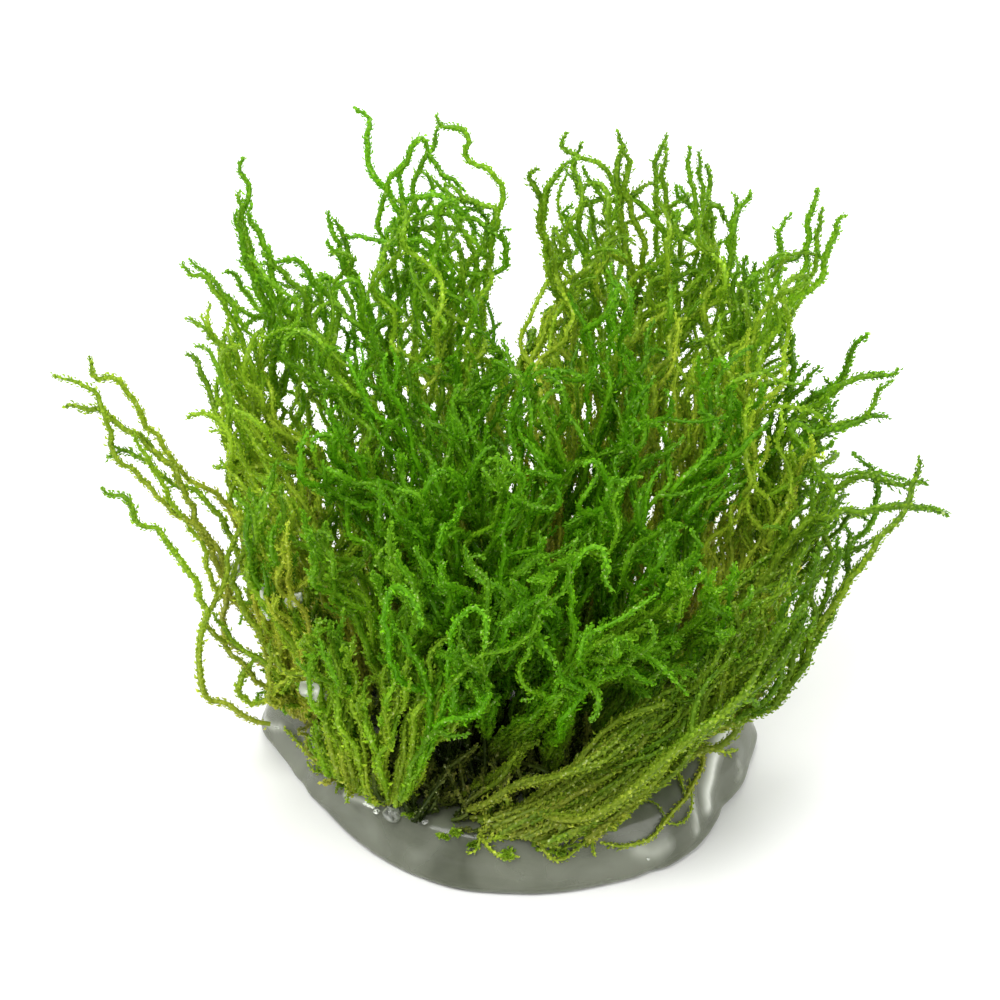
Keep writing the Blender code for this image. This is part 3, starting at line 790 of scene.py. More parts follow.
class MossPiece:
    """The shoots of one group, gathered as arrays and joined in one mesh."""

    def __init__(self, seed, bristle=1.0):
        self.draw = np.random.default_rng(seed)
        self.places = []
        self.paint = []
        self.maps = {3: [], 4: []}
        self.faces = {3: [], 4: []}
        self.rows = []
        self.routes = []
        self.bristle = bristle
        self.count = 0

    def add(self, places, paint, faces, marks):
        """Takes in corners, their paint, faces over them, and each face's corners on the shoot's strip."""
        sides = faces.shape[1]
        self.faces[sides].append(faces + self.count)
        self.maps[sides].append(marks)
        self.places.append(places)
        self.paint.append(paint)
        self.rows.append((sides, len(faces), self.strip))
        self.count += len(places)

    def shoot(self, points, tint=0.5, olive=0.0, size=1.0, age=0.0, bare_foot=0.0):
        """A leafy shoot along a route: age 0 at a growing tip rises towards the foot."""
        run, along = even_run(points, STEM_STEP)
        self.strip = along[-1]
        ground = np.stack([hollow_shade(run), olive_share(run)], axis=1)
        self.routes.append(run)
        axes = axes_along(run)
        look = {"tint": tint, "olive": olive, "age": age}
        self.stem(run, along, axes, size, look, ground)
        self.leaves(run, along, axes, size, look, ground, bare_foot)

    def painted(self, to_tip, leaf, look, ground):
        """The paint of places: how old (with the front hollow's painted shade added as age), how pale and
        how olive they are, and where on a leaf.
        """
        dark, low = ground[..., 0], ground[..., 1]
        old = np.clip(look["age"] + to_tip / AGE_LENGTH, 0.0, 1.0)
        # Painted shade: in the front hollow the colour is pushed towards the dark old end of the ramps and
        # made less olive
        old = old + (1.0 - old) * dark
        olive = (look["olive"] + max(0.0, OLIVE_FOOT - look["olive"]) * low) * (1.0 - HOLLOW_SHADE_GREEN * dark)
        return np.stack(np.broadcast_arrays(old, look["tint"], olive, leaf), axis=-1)

    def stem(self, run, along, axes, size, look, ground):
        """The thin stem of a shoot."""
        _, side, other = axes
        to_tip = along[-1] - along
        radius = STEM_RADIUS * size * taper(to_tip, size)
        turns = np.arange(STEM_SIDES) * math.tau / STEM_SIDES
        ring = (side[:, None] * np.cos(turns)[:, None] + other[:, None] * np.sin(turns)[:, None])
        places = (run[:, None] + ring * radius[:, None, None]).reshape(-1, 3)
        number = np.arange(STEM_SIDES)
        first = np.arange(len(run) - 1)[:, None] * STEM_SIDES + number
        after = np.arange(len(run) - 1)[:, None] * STEM_SIDES + (number + 1) % STEM_SIDES
        faces = np.stack([first, after, after + STEM_SIDES, first + STEM_SIDES], axis=-1).reshape(-1, 4)
        paint = self.painted(to_tip, 0.0, look, ground).repeat(STEM_SIDES, axis=0)
        start, end = along[:-1, None], along[1:, None]
        low = STEM_STRIP[0] + STEM_STRIP[1] * number / STEM_SIDES
        high = low + STEM_STRIP[1] / STEM_SIDES
        marks = np.stack(np.broadcast_arrays(start, low, start, high, end, high, end, low), axis=-1)
        self.add(places, paint, faces, marks.reshape(-1, 4, 2))

    def leaves(self, run, along, axes, size, look, ground, bare_foot):
        """The leaves all round a shoot, fewer at its foot and folded in at its bud."""
        draw = self.draw
        length = along[-1]
        leaf_size = size ** LEAF_GROWTH
        spacing = LEAF_SPACING / size ** SPACING_GROWTH
        places = np.arange(LEAF_ENDS[0], length - LEAF_ENDS[1], spacing)
        if bare_foot:
            keep = draw.random(len(places)) < np.clip(1.0 - bare_foot + places / length * 1.5, 0.0, 1.0)
            places = places[keep]
        places = places + draw.uniform(*LEAF_STRAY, len(places)) * spacing
        count = len(places)
        way, side, other = (unit(read_rows(places, along, rows)) for rows in axes)
        turn = np.arange(count) * LEAF_TURN + draw.uniform(*LEAF_TURNS, count)
        outward = side * np.cos(turn)[:, None] + other * np.sin(turn)[:, None]
        to_tip = length - places
        bud = np.clip(to_tip / BUD_LENGTH, 0.0, 1.0)
        lean = LEAF_LEAN * self.bristle * (0.5 + 0.5 * bud) * draw.uniform(*LEAF_LEANS, count)
        proud = draw.random(count) < PROUD_SHARE
        lean = np.where(proud, lean * PROUD_LEAN[0] + PROUD_LEAN[1], lean)
        along_leaf = way * np.cos(lean)[:, None] + outward * np.sin(lean)[:, None]
        across = unit(np.cross(along_leaf, outward))
        upward = np.cross(across, along_leaf)
        reach = LEAF_LENGTH * leaf_size * (0.9 + 0.1 * bud) * draw.uniform(*LEAF_LENGTHS, count)
        reach = np.where(proud, reach * PROUD_LENGTH, reach)
        width = LEAF_WIDTH * leaf_size * draw.uniform(*LEAF_WIDTHS, count)
        sunk = taper(to_tip, size) * LEAF_SUNK
        foot = read_rows(places, along, run) + outward * (STEM_RADIUS * size * sunk)[:, None]
        corners = foot[:, None]
        for part, (way_out, span) in enumerate(((across, width), (along_leaf, reach), (upward, reach))):
            corners = corners + way_out[:, None] * (LEAF_PLACES[None, :, part, None] * span[:, None, None])
        faces = LEAF_FACES[None] + (np.arange(count) * len(LEAF_PLACES))[:, None, None]
        tint = np.clip(look["tint"] + draw.uniform(*LEAF_TINTS, (count, 1)), 0.0, 1.0)
        near = np.stack([np.interp(places, along, ground[:, axis]) for axis in (0, 1)], axis=1)
        shape = (count, len(LEAF_PLACES))
        paint = self.painted(np.broadcast_to(to_tip[:, None], shape), LEAF_PLACES[None, :, 1],
                             {**look, "tint": tint}, near[:, None])
        up_strip = LEAF_STRIP[0] + LEAF_STRIP[1] * LEAF_PLACES[None, :, 1]
        marks = np.stack([places[:, None] + LEAF_PLACES[None, :, 0] * width[:, None] + LEAF_WIDTH,
                          np.broadcast_to(up_strip, shape)], axis=-1)
        marks = marks[:, LEAF_FACES].reshape(-1, 3, 2)
        self.add(corners.reshape(-1, 3), paint.reshape(-1, 4), faces.reshape(-1, 3), marks)

    def build(self, name, material):
        """Joins everything in one mesh, with its paint and its bake map."""
        places = np.concatenate(self.places)
        corners = np.concatenate([np.concatenate(self.faces[sides]).ravel() for sides in (3, 4)])
        sizes = np.concatenate([np.full(len(np.concatenate(self.faces[sides])), sides) for sides in (3, 4)])
        starts = np.concatenate([[0], np.cumsum(sizes)[:-1]])
        mesh = bpy.data.meshes.new(name)
        mesh.vertices.add(len(places))
        mesh.vertices.foreach_set("co", places.astype(np.float32).ravel())
        mesh.loops.add(len(corners))
        mesh.loops.foreach_set("vertex_index", corners.astype(np.int32))
        mesh.polygons.add(len(sizes))
        mesh.polygons.foreach_set("loop_start", starts.astype(np.int32))
        mesh.update(calc_edges=True)
        layer = mesh.color_attributes.new("moss", "FLOAT_COLOR", "POINT")
        layer.data.foreach_set("color", np.concatenate(self.paint).astype(np.float32).ravel())
        mesh.uv_layers.new(name="OFBake").data.foreach_set("uv", self.bake_map().astype(np.float32).ravel())
        mesh.materials.append(material)
        return in_scene(name, mesh)

    def bake_map(self):
        """Every shoot has a strip of the map to itself, as long as the longest shoot."""
        longest = max(strip for _, _, strip in self.rows) + 2 * LEAF_WIDTH
        strips = sorted({strip for _, _, strip in self.rows})
        row_of = {strip: number for number, strip in enumerate(strips)}
        parts = []
        for sides in (3, 4):
            rows = np.concatenate([np.full(count, row_of[strip])
                                   for kind, count, strip in self.rows if kind == sides])
            marks = np.concatenate(self.maps[sides])
            across = marks[:, :, 0] / longest
            up = (marks[:, :, 1] + rows[:, None]) / len(strips)
            parts.append(np.stack([across, up], axis=-1).reshape(-1, 2))
        return np.concatenate(parts)


def waved(run, along, draw, waves, grow):
    """A route with waves to both sides."""
    _, side, other = axes_along(run)
    for axis in (side, other):
        lengths = [draw.uniform(*span) for span, _ in waves]
        for length, (_, size) in zip(lengths, waves):
            turn = math.tau * along / (length * MM) + draw.uniform(0, math.tau)
            run = run + axis * (np.sin(turn) * grow * size * MM)[:, None]
    return run


def wander(run, draw, swing):
    """Pushes a route about in waves, more and more towards its tip."""
    along = length_along(run)
    grow = np.interp(along / along[-1], WAVE_PLACES, WAVE_GROWTH) * swing
    return waved(run, along, draw, WAVES, grow)


def kinked(run, draw):
    """Small kinks along a route that the photograph gives."""
    along = length_along(run)
    return waved(run, along, draw, KINKS, np.clip(along / KINK_FREE, 0, 1))


def hook(run, draw, reach, turn):
    """Bends the last stretch of a route round."""
    run, along = even_run(run, HOOK_STEP * MM)
    start = int(np.argmax(along > along[-1] - reach))
    if start < 2:
        return run
    ways = np.diff(run[start - 1:], axis=0)
    first = ways[0] / np.linalg.norm(ways[0])
    aside = np.cross(first, draw.normal(size=3))
    aside /= np.linalg.norm(aside)
    share = np.linspace(0, 1, len(ways)) ** HOOK_EASE
    angle = (turn * share)[:, None]
    ways = (first * np.cos(angle) + aside * np.sin(angle)) * HOOK_STEP * MM
    bent = run[start - 1] + np.concatenate((np.zeros((1, 3)), np.cumsum(ways, axis=0)))
    return np.concatenate((run[:start - 1], bent))


def left_outside(run):
    """Which places of a route lie outside the clump's outline or too far back, apart from its foot."""
    out = ~inside(to_pixels(run), CLUMP_OUTLINE) | (run[:, 1] > BACK_REACH)
    return out & (length_along(run) > OUTLINE_FOOT)


def cut_to_outline(run, draw):
    """The route up to where it leaves the clump's outline, and a little less."""
    out = left_outside(run)
    along = length_along(run)
    if not out.any():
        return run
    end = along[int(np.argmax(out))] - draw.uniform(0, OUTLINE_SLACK)
    return read_rows(np.linspace(0, end, len(run)), along, run)


def open_hollow(run):
    """Sets the low part of a route back where the front hollow is."""
    run = run.copy()
    low = np.clip(1 - run[:, 2] / (HOLLOW_HEIGHT * MM), 0, 1)
    near = np.exp(-((run[:, 0] / MM - HOLLOW_MIDDLE) / HOLLOW_WIDTH) ** 4)
    run[:, 1] += HOLLOW_DEPTH * MM * low * near * (run[:, 1] < 0)
    return run


def above_pad(run):
    """Lifts a route off the top of the pad."""
    run = run.copy()
    near = np.hypot(run[:, 0], run[:, 1]) < PAD_REACH
    run[near, 2] = np.maximum(run[near, 2], pad_top + PAD_CLEARANCE)
    return run


def lock_shoot(line, draw, facts, leader):
    """The best of a few shoots along a lock: the one that leaves the clump's outline least."""
    routes = [lock_route(line, draw, facts, leader) for _ in range(TRIES)]
    run = min(routes, key=lambda route: np.mean(left_outside(route)))
    run = cut_to_outline(run, draw)
    if draw.random() < facts["hooked"]:
        run = hook(run, draw, draw.uniform(*HOOK_REACHES) * MM, draw.uniform(*HOOK_TURNS))
    return above_pad(run)


def lock_route(line, draw, facts, leader):
    """A route that follows a lock from its foot towards its tip, off to one side."""
    end = LEADER_END if leader else draw.uniform(*OTHER_ENDS) ** 0.5
    share = np.linspace(0.0, end, ROUTE_POINTS)
    guide = read_rows(share, np.linspace(0, 1, len(line)), line)
    _, side, other = axes_along(guide)
    reach = LEADER_REACH if leader else math.sqrt(draw.uniform(*OTHER_REACHES))
    turn = draw.uniform(0, math.tau) + draw.uniform(-LOCK_TURN, LOCK_TURN) * share
    away = side * np.cos(turn)[:, None] + other * np.sin(turn)[:, None]
    spread = np.interp(share, LOCK_SHARES, LOCK_SPREADS) * reach * facts["spread"]
    run = guide + away * spread[:, None]
    run = wander(run, draw, draw.uniform(*LOCK_SWINGS) * facts["swing"])
    return run if facts is GROUPS["sweep"] else open_hollow(run)


def side_shoot(run, draw, longest):
    """A short shoot that forks off its parent and turns up along it."""
    ahead, side, other = axes_along(run)
    index = int(len(run) * draw.uniform(*FORK_PLACES))
    turn = draw.uniform(0, math.tau)
    away = side[index] * math.cos(turn) + other[index] * math.sin(turn)
    length = draw.uniform(FORK_SHORTEST, longest) * MM
    steps = np.linspace(0, 1, 10)[:, None]
    lean = draw.uniform(*FORK_LEANS)
    bend = np.cross(ahead[index], away) * draw.uniform(*FORK_BENDS)
    route = run[index] + length * (ahead[index] * (steps * math.cos(lean) + 0.3 * steps ** 2)
                                   + away * (math.sin(lean) * (steps - 0.35 * steps ** 2))
                                   + bend * np.sin(steps * 2.6))
    return above_pad(route)


def grow_shoot(piece, run, facts, forks, longest, scale=1.0, age=0.0):
    """A shoot with its side shoots."""
    draw = piece.draw
    look = {"age": age + facts["age"]}
    look["tint"] = float(np.clip(facts["shade"] + draw.uniform(*SHADES), 0, 1))
    look["olive"] = float(np.clip(facts["olive"] + draw.uniform(*OLIVES), 0, 1))
    size = facts["size"] * draw.uniform(*SIZES) * scale
    piece.shoot(run, size=size, bare_foot=BARE_FOOT, **look)
    for _ in range(forks):
        fork = side_shoot(run, draw, longest)
        if longest < FREE_FORK or inside(to_pixels(fork), CLUMP_OUTLINE).all():
            piece.shoot(fork, size=size * FORK_SIZE, **look)


def joined_to_lock(lines, run):
    """A routed shoot with its lower part added, which follows the nearest lock up from the pad."""
    start = run[0]
    best = None
    for name, line in lines.items():
        lower = line[line[:, 2] < start[2] - JOIN_BELOW]
        if len(lower) < JOIN_POINTS:
            continue
        gaps = np.linalg.norm(lower - start, axis=1) + JOIN_FALL * np.abs(start[2] - lower[:, 2])
        index = int(np.argmin(gaps))
        if best is None or gaps[index] < best[0]:
            best = (gaps[index], name, index)
    if best is None:
        nearest = min(lines, key=lambda name: np.linalg.norm(lines[name][0] - start))
        return nearest, run
    _, name, index = best
    foot = open_hollow(lines[name][:max(index - 3, 1):6])
    return name, np.concatenate((foot, run))


def routed(depths, pixels):
    """The places of a shoot that is given by the photograph's pixels."""
    span = np.linspace(0, 1, len(pixels))
    return np.array([at_pixel(pixel, depths[0] + (depths[1] - depths[0]) * share)
                     for pixel, share in zip(pixels, span)])


def single_shoots(pieces, lines):
    """The shoots that the photograph shows one by one."""
    for start, end, *pixels in SINGLE_SHOOTS:
        name, route = joined_to_lock(lines, routed((start, end), pixels))
        place = group_of(name)
        piece = pieces[place]
        run = even_run(smooth_run(route, SINGLE_POINTS * len(route)), SINGLE_STEP)[0]
        run = above_pad(kinked(run, piece.draw))
        forks = int(piece.draw.integers(0, 2))
        facts, scale = single_look(place, min(start, end), *pixels[0])
        grow_shoot(piece, run, facts, forks, SINGLE_FORK, scale)


def single_look(place, nearest, across, down):
    """The look and size of a routed shoot, by its group, its nearest depth and its first pixel."""
    if across < STRAW_EDGE[0] and down > STRAW_EDGE[1]:
        return {**GROUPS["left"], **STRAW_LOOK}, STRAW_SIZE
    if nearest < FRONT_DEPTH:
        return {**GROUPS["front"], **FRONT_LOOK}, FRONT_SIZE
    low_right = place == "right_back" and down > LOW_RIGHT
    facts = {**GROUPS["right" if low_right else place], "age": 0.0}
    facts["olive"] *= OTHER_OLIVE
    facts["shade"] = min(facts["shade"], PALEST_OTHER)
    return facts, WIDE_SIZE if place in WIDE_GROUPS else OTHER_SIZE


def group_of(lock):
    """The group that a lock's name begins with."""
    return lock.rsplit("_lock_", 1)[0]


def between_lines(lines, where):
    """A route that runs between lines laid side by side, at its own place among them at each point."""
    stack = np.array(lines)
    first = np.minimum(where.astype(int), len(lines) - 2)
    share = (where - first)[:, None]
    step = np.arange(len(where))
    return stack[first, step] * (1 - share) + stack[first + 1, step] * share


def combed_sheets(pieces):
    """The sheets of shoots that lie side by side, each shoot between two of the sheet's lines."""
    steps = np.linspace(0, 1, ROUTE_POINTS)
    for place, count, olive, age, cross, *guides in COMBED_SHEETS:
        lines = [smooth_run(routed((at_height(pixels[0], pad_top)[1] / MM, end), pixels), ROUTE_POINTS)
                 for end, *pixels in guides]
        draw = pieces[place].draw
        facts = {**GROUPS[place], "olive": olive}
        for index in range(count):
            where = (index + draw.uniform(0, 1)) / count * (len(lines) - 1)
            drift = where + draw.uniform(-cross, cross) * steps
            line = between_lines(lines, np.clip(drift, 0, len(lines) - 1))
            span = np.linspace(draw.uniform(*SHEET_STARTS), draw.uniform(*SHEET_ENDS), ROUTE_POINTS)
            run = read_rows(span, steps, line) + SHEET_AWAY * draw.uniform(*SHEET_OFFSETS) * MM
            run = wander(run, draw, draw.uniform(*SHEET_SWINGS) + SHEET_CROSSING * cross)
            run = above_pad(cut_to_outline(run, draw))
            forks = int(draw.integers(0, 2))
            grow_shoot(pieces[place], run, facts, forks, SHEET_FORK, draw.uniform(*SHEET_SIZES), age)


def lying_shoots(piece, pad_shape):
    """The shoots that lie on the gel, set down where the camera sees them on it."""
    for size, *pixels in LYING_SHOOTS:
        seen = [on_pad(pad_shape, pixel) for pixel in pixels]
        places = [tuple(spot + normal * LYING_LIFT) for spot, normal in seen if spot is not None]
        if len(places) > 1:
            run = smooth_run(places, LYING_POINTS * len(places))
            piece.shoot(run, tint=piece.draw.uniform(*LYING_TINTS), olive=1.0, size=size, age=LYING_AGE)


def tuft(piece, foot, lean, olive, longest=8.0, age=0.25):
    """A short curly shoot that stands on the gel."""
    draw = piece.draw
    length = draw.uniform(min(TUFT_SHORTEST, 0.5 * longest), longest) * MM
    steps = np.linspace(0, 1, 8)[:, None]
    way = lean + draw.normal(size=3) * TUFT_STRAY
    way[2] = abs(way[2])
    way /= np.linalg.norm(way)
    aside = np.cross(way, draw.normal(size=3))
    run = foot + length * (way * steps + aside * TUFT_CURL * np.sin(steps * draw.uniform(*TUFT_CURLS)))
    run[:, 2] = np.maximum(run[:, 2], foot[2])
    tint = draw.uniform(*TUFT_TINTS)
    piece.shoot(run, tint=tint, olive=olive, size=draw.uniform(*TUFT_SIZES), age=age)


def under_tufts(pieces, lines):
    """Short old shoots all over the pad, between the locks' feet."""
    feet = {name: line[0] for name, line in lines.items()}
    draw = np.random.default_rng(SEED + 50)
    for _ in range(UNDER_TUFTS):
        angle = draw.uniform(0, math.tau)
        reach = UNDER_REACH * math.sqrt(draw.uniform(0, 1))
        foot = round_pad(angle, reach)
        name = min(feet, key=lambda name: np.linalg.norm(feet[name] - foot))
        if foot[1] < -2 * MM and abs(foot[0] / MM - HOLLOW_MIDDLE) < HOLLOW_SPREAD:
            # Short, with a high age that paints shade on them in the hollow
            longest, age = UNDER_HOLLOW_SHADED
        else:
            longest = UNDER_LONGEST - UNDER_SHORTER * reach / UNDER_REACH
            age = draw.uniform(*UNDER_AGES)
        tuft(pieces[group_of(name)], foot, outwards(angle, *UNDER_LEAN), UNDER_OLIVE, longest, age)


def round_pad(angle, reach):
    """A place on the pad's top, by its angle and how far out it is."""
    return np.array((math.cos(angle) * reach, math.sin(angle) * reach, pad_top + TUFT_HEIGHT))


def outwards(angle, out, up):
    """A way that leans outwards at an angle."""
    return np.array((math.cos(angle) * out, math.sin(angle) * out, up))


def edge_tufts(pieces, pad_shape, draw):
    """The ragged edge of the moss: short shoots all along its foot at the front."""
    edge = np.array(FOOT_EDGE, float)
    along = length_along(edge)
    for _ in range(FOOT_TUFTS):
        place = draw.uniform(0, along[-1])
        pixel = np.array([np.interp(place, along, edge[:, axis]) for axis in (0, 1)])
        pixel += (FOOT_MIDDLE - pixel) * draw.uniform(*FOOT_DRAW)
        spot, normal = on_pad(pad_shape, pixel)
        if spot is None:
            continue
        foot = np.array(spot + normal * FOOT_LIFT)
        flow = np.interp(pixel[0], FLOW_START, (0.0, 1.0))
        lean = foot / np.linalg.norm(foot) * FOOT_OUT * (1 - flow) + FLOW_WAY * flow + FOOT_UP * (1 - flow)
        in_hollow = HOLLOW_RIM[0] < pixel[0] < HOLLOW_RIM[1]
        # On the hollow's rim a high age paints shade on the tufts
        age = draw.uniform(*(HOLLOW_RIM_SHADE_AGES if in_hollow else FOOT_AGES))
        if OLD_RIM[0] < pixel[0] < OLD_RIM[1]:
            age += OLDER_RIM
        home = pieces["sweep" if flow > 0.5 else "front_left"]
        tuft(home, foot, lean, draw.uniform(*FOOT_OLIVES), FOOT_LONGEST - FLOW_SHORTER * flow, age)


def foot_tufts(pieces, pad_shape):
    """Short shoots on the gel: along the edge, in rosettes, in the hollow and round the back."""
    draw = pieces["front_left"].draw
    edge_tufts(pieces, pad_shape, draw)
    for pixel in ROSETTES:
        foot = np.array(on_pad(pad_shape, pixel)[0]) + ROSETTE_LIFT
        for number in range(ROSETTE_SHOOTS):
            lean = outwards(math.tau * number / ROSETTE_SHOOTS, *ROSETTE_LEAN)
            tuft(pieces["front_left"], foot, lean, ROSETTE_OLIVE, ROSETTE_REACH, ROSETTE_AGE)
    for _ in range(HOLLOW_TUFTS):
        foot = np.array((draw.uniform(*HOLLOW_ACROSS), draw.uniform(*HOLLOW_ALONG), 0.0)) * MM
        foot[2] = pad_top + TUFT_HEIGHT
        # The hollow's tufts get a high age, which paints shade on them
        tuft(pieces["back"], foot, HOLLOW_LEAN, HOLLOW_OLIVE, age=HOLLOW_TUFT_SHADE_AGE)
    for _ in range(BACK_TUFTS):
        angle = math.radians(draw.uniform(*BACK_ANGLES))
        foot = round_pad(angle, draw.uniform(*BACK_RING) * MM)
        tuft(pieces["back"], foot, outwards(angle, *BACK_LEAN), draw.uniform(*BACK_OLIVES))


def finish_moss(pieces, material):
    """Builds each group's mesh in place of its locks."""
    for place, piece in pieces.items():
        obj = piece.build(place + "_shoots", material)
        names = [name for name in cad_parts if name.startswith((place + "_lock", place + "_shoot"))]
        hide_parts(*names)
        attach(obj, "root")


def in_scene(name, data):
    """A new object in the scene."""
    obj = bpy.data.objects.new(name, data)
    bpy.context.scene.collection.objects.link(obj)
    return obj


def new_material(name):
    """A material, its node tree and its shader."""
    material = bpy.data.materials.new(name)
    material.use_nodes = True
    return material, material.node_tree, material.node_tree.nodes["Principled BSDF"]


def wire(tree, node, inputs):
    """Joins a node's inputs to other nodes' sockets, or sets them to values."""
    for name, value in inputs.items():
        if isinstance(value, bpy.types.NodeSocket):
            tree.links.new(value, node.inputs[name])
        else:
            node.inputs[name].default_value = value


def add_node(tree, kind, inputs, **values):
    """A new node with its settings and inputs."""
    node = tree.nodes.new(kind)
    node.location = (-180 * len(tree.nodes), -300)
    for key, value in values.items():
        setattr(node, key, value)
    wire(tree, node, inputs)
    return node


def colour_ramp(tree, share, stops):
    """A colour between stops, by a share."""
    node = add_node(tree, "ShaderNodeValToRGB", {"Fac": share})
    ramp = node.color_ramp
    while len(ramp.elements) < len(stops):
        ramp.elements.new(0.5)
    for element, (position, colour) in zip(ramp.elements, stops):
        element.position = position
        element.color = (*colour, 1.0)
    return node.outputs["Color"]


def mix_colour(tree, share, first, second, blend="MIX"):
    """Two colours mixed."""
    inputs = {"Factor": share, "A": first, "B": second}
    return add_node(tree, "ShaderNodeMix", inputs, data_type="RGBA", blend_type=blend).outputs["Result"]


def noise_on_piece(tree, **inputs):
    """Noise on the piece's own coordinates."""
    where = add_node(tree, "ShaderNodeTexCoord", {}).outputs["Object"]
    return add_node(tree, "ShaderNodeTexNoise", {"Vector": where, **inputs}).outputs["Fac"]


def moss_material():
    """Leaves: coloured by age and place, each a little different, grained, with painted wet glints mixed
    into the colour.
    """
    material, tree, shader = new_material("moss_leaves")
    paint = add_node(tree, "ShaderNodeAttribute", {}, attribute_name="moss")
    split = add_node(tree, "ShaderNodeSeparateColor", {"Color": paint.outputs["Color"]})
    age, tint, olive = (split.outputs[name] for name in ("Red", "Green", "Blue"))
    grain = noise_on_piece(tree, Scale=GRAIN_SCALE, Detail=1.0)
    colour = mix_colour(tree, olive, colour_ramp(tree, age, GREEN_MOSS), colour_ramp(tree, age, OLIVE_MOSS))
    for share, stops in ((tint, LEAF_SHADES), (grain, MOSS_GRAIN), (paint.outputs["Alpha"], LEAF_FADE)):
        colour = mix_colour(tree, 1.0, colour, colour_ramp(tree, share, stops), "MULTIPLY")
    # Painted highlights: pale glint specks mixed into the base colour where the grain is high
    colour = mix_colour(tree, colour_ramp(tree, grain, PAINTED_GLINTS), colour, PAINTED_GLINT_COLOUR)
    wire(tree, shader, {"Base Color": colour, "Roughness": 0.35, "Specular IOR Level": 0.2})
    glow = add_node(tree, "ShaderNodeBsdfTranslucent", {"Color": colour})
    both = add_node(tree, "ShaderNodeMixShader", {"Fac": LEAF_GLOW})
    tree.links.new(shader.outputs["BSDF"], both.inputs[1])
    tree.links.new(glow.outputs["BSDF"], both.inputs[2])
    wire(tree, tree.nodes["Material Output"], {"Surface": both.outputs["Shader"]})
    return material


def gel_material(name, dull, pale, rough, clear):
    """Clear culture gel with cloudy patches, and a pale haze painted where its bits are milky and as
    painted highlights along the pad's ridges.
    """
    material, tree, shader = new_material(name)
    cloud = noise_on_piece(tree, Scale=GEL_CLOUDS, Detail=5.0, Distortion=0.6)
    haze_and_highlight = add_node(tree, "ShaderNodeAttribute", {}, attribute_name="haze_and_highlight").outputs["Fac"]
    clouds = colour_ramp(tree, cloud, ((0.38, dull), (0.62, pale)))
    clearness = colour_ramp(tree, haze_and_highlight, ((0.0, (clear, clear, clear)), (1.0, (0.0, 0.0, 0.0))))
    wire(tree, shader, {"Base Color": mix_colour(tree, haze_and_highlight, clouds, MILK_AND_HIGHLIGHT_GEL),
                        "Transmission Weight": clearness, "Roughness": rough, "IOR": GEL_INDEX,
                        "Coat Weight": 0.16, "Coat Roughness": 0.1})
    return material


def solid_tree(name):
    """A CAD solid's surface, for rays."""
    shape = bmesh.new()
    shape.from_mesh(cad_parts[name].data)
    tree = BVHTree.FromBMesh(shape)
    shape.free()
    return tree


def pad_place(solid, angle, down):
    """A place on the pad: down runs from 0, its middle, over its edge to 1, its underside."""
    out = Vector((math.cos(angle), math.sin(angle), 0.0))
    height = PAD_SHRINK
    if down < PAD_WALL_SHARE:
        fall = max(0.0, down - PAD_TOP_SHARE) / (PAD_WALL_SHARE - PAD_TOP_SHARE)
        height = (pad_top - PAD_SHRINK) * (1 - fall) + PAD_SHRINK * fall
    edge, _, _, _ = solid.ray_cast(out * PAD_FAR + Vector((0, 0, height)), -out)
    if down > PAD_WALL_SHARE:
        share = (1 - down) / (1 - PAD_WALL_SHARE)
        return Vector((edge.x * share, edge.y * share, 0.0))
    place, way = edge.copy(), out
    if down <= PAD_TOP_SHARE:
        way = Vector((0, 0, 1))
    if down < PAD_TOP_SHARE:
        share = down / PAD_TOP_SHARE
        place, _, _, _ = solid.ray_cast(Vector((edge.x * share, edge.y * share, PAD_FAR)), -way)
    free = min(1.0, place.z / PAD_FREE)
    lump = sum(noise.noise(place / (size * MM)) * height for size, height in PAD_LUMPS) * MM * free
    return place + way * lump


def gel_pad(material):
    """The pad over its solid: lumpy, with rounded edges and ridges that carry painted highlights."""
    solid = solid_tree("gel_pad")
    shape = bmesh.new()
    bmesh.ops.create_uvsphere(shape, u_segments=PAD_AROUND, v_segments=PAD_DOWN, radius=1.0)
    for vert in shape.verts:
        down = math.acos(max(-1.0, min(1.0, vert.co.z))) / math.pi
        vert.co = pad_place(solid, math.atan2(vert.co.y, vert.co.x), down)
    swell_edge(shape)
    upper = [vert for vert in shape.verts if vert.co.z > SMOOTH_ABOVE]
    for _ in range(SMOOTH_ROUNDS):
        bmesh.ops.smooth_vert(shape, verts=upper, factor=0.5, use_axis_x=True, use_axis_y=True,
                              use_axis_z=True)
    bmesh.ops.recalc_face_normals(shape, faces=shape.faces[:])
    raise_ridges(shape, BVHTree.FromBMesh(shape))
    tree = BVHTree.FromBMesh(shape)
    gel_piece("gel_pad_surface", shape, material, "gel_pad")
    return tree


def swell_edge(shape):
    """Moves the pad's edge out or in where the photograph shows it."""
    for pixel, width, reach in GEL_SWELLS:
        spot = at_height(pixel, SWELL_HEIGHT)
        for vert in shape.verts:
            gap = math.hypot(vert.co.x - spot[0], vert.co.y - spot[1]) / (width * MM)
            if gap < SWELL_END:
                out = Vector((vert.co.x, vert.co.y, 0.0)).normalized()
                vert.co += out * (math.exp(-gap * gap) * reach * MM)


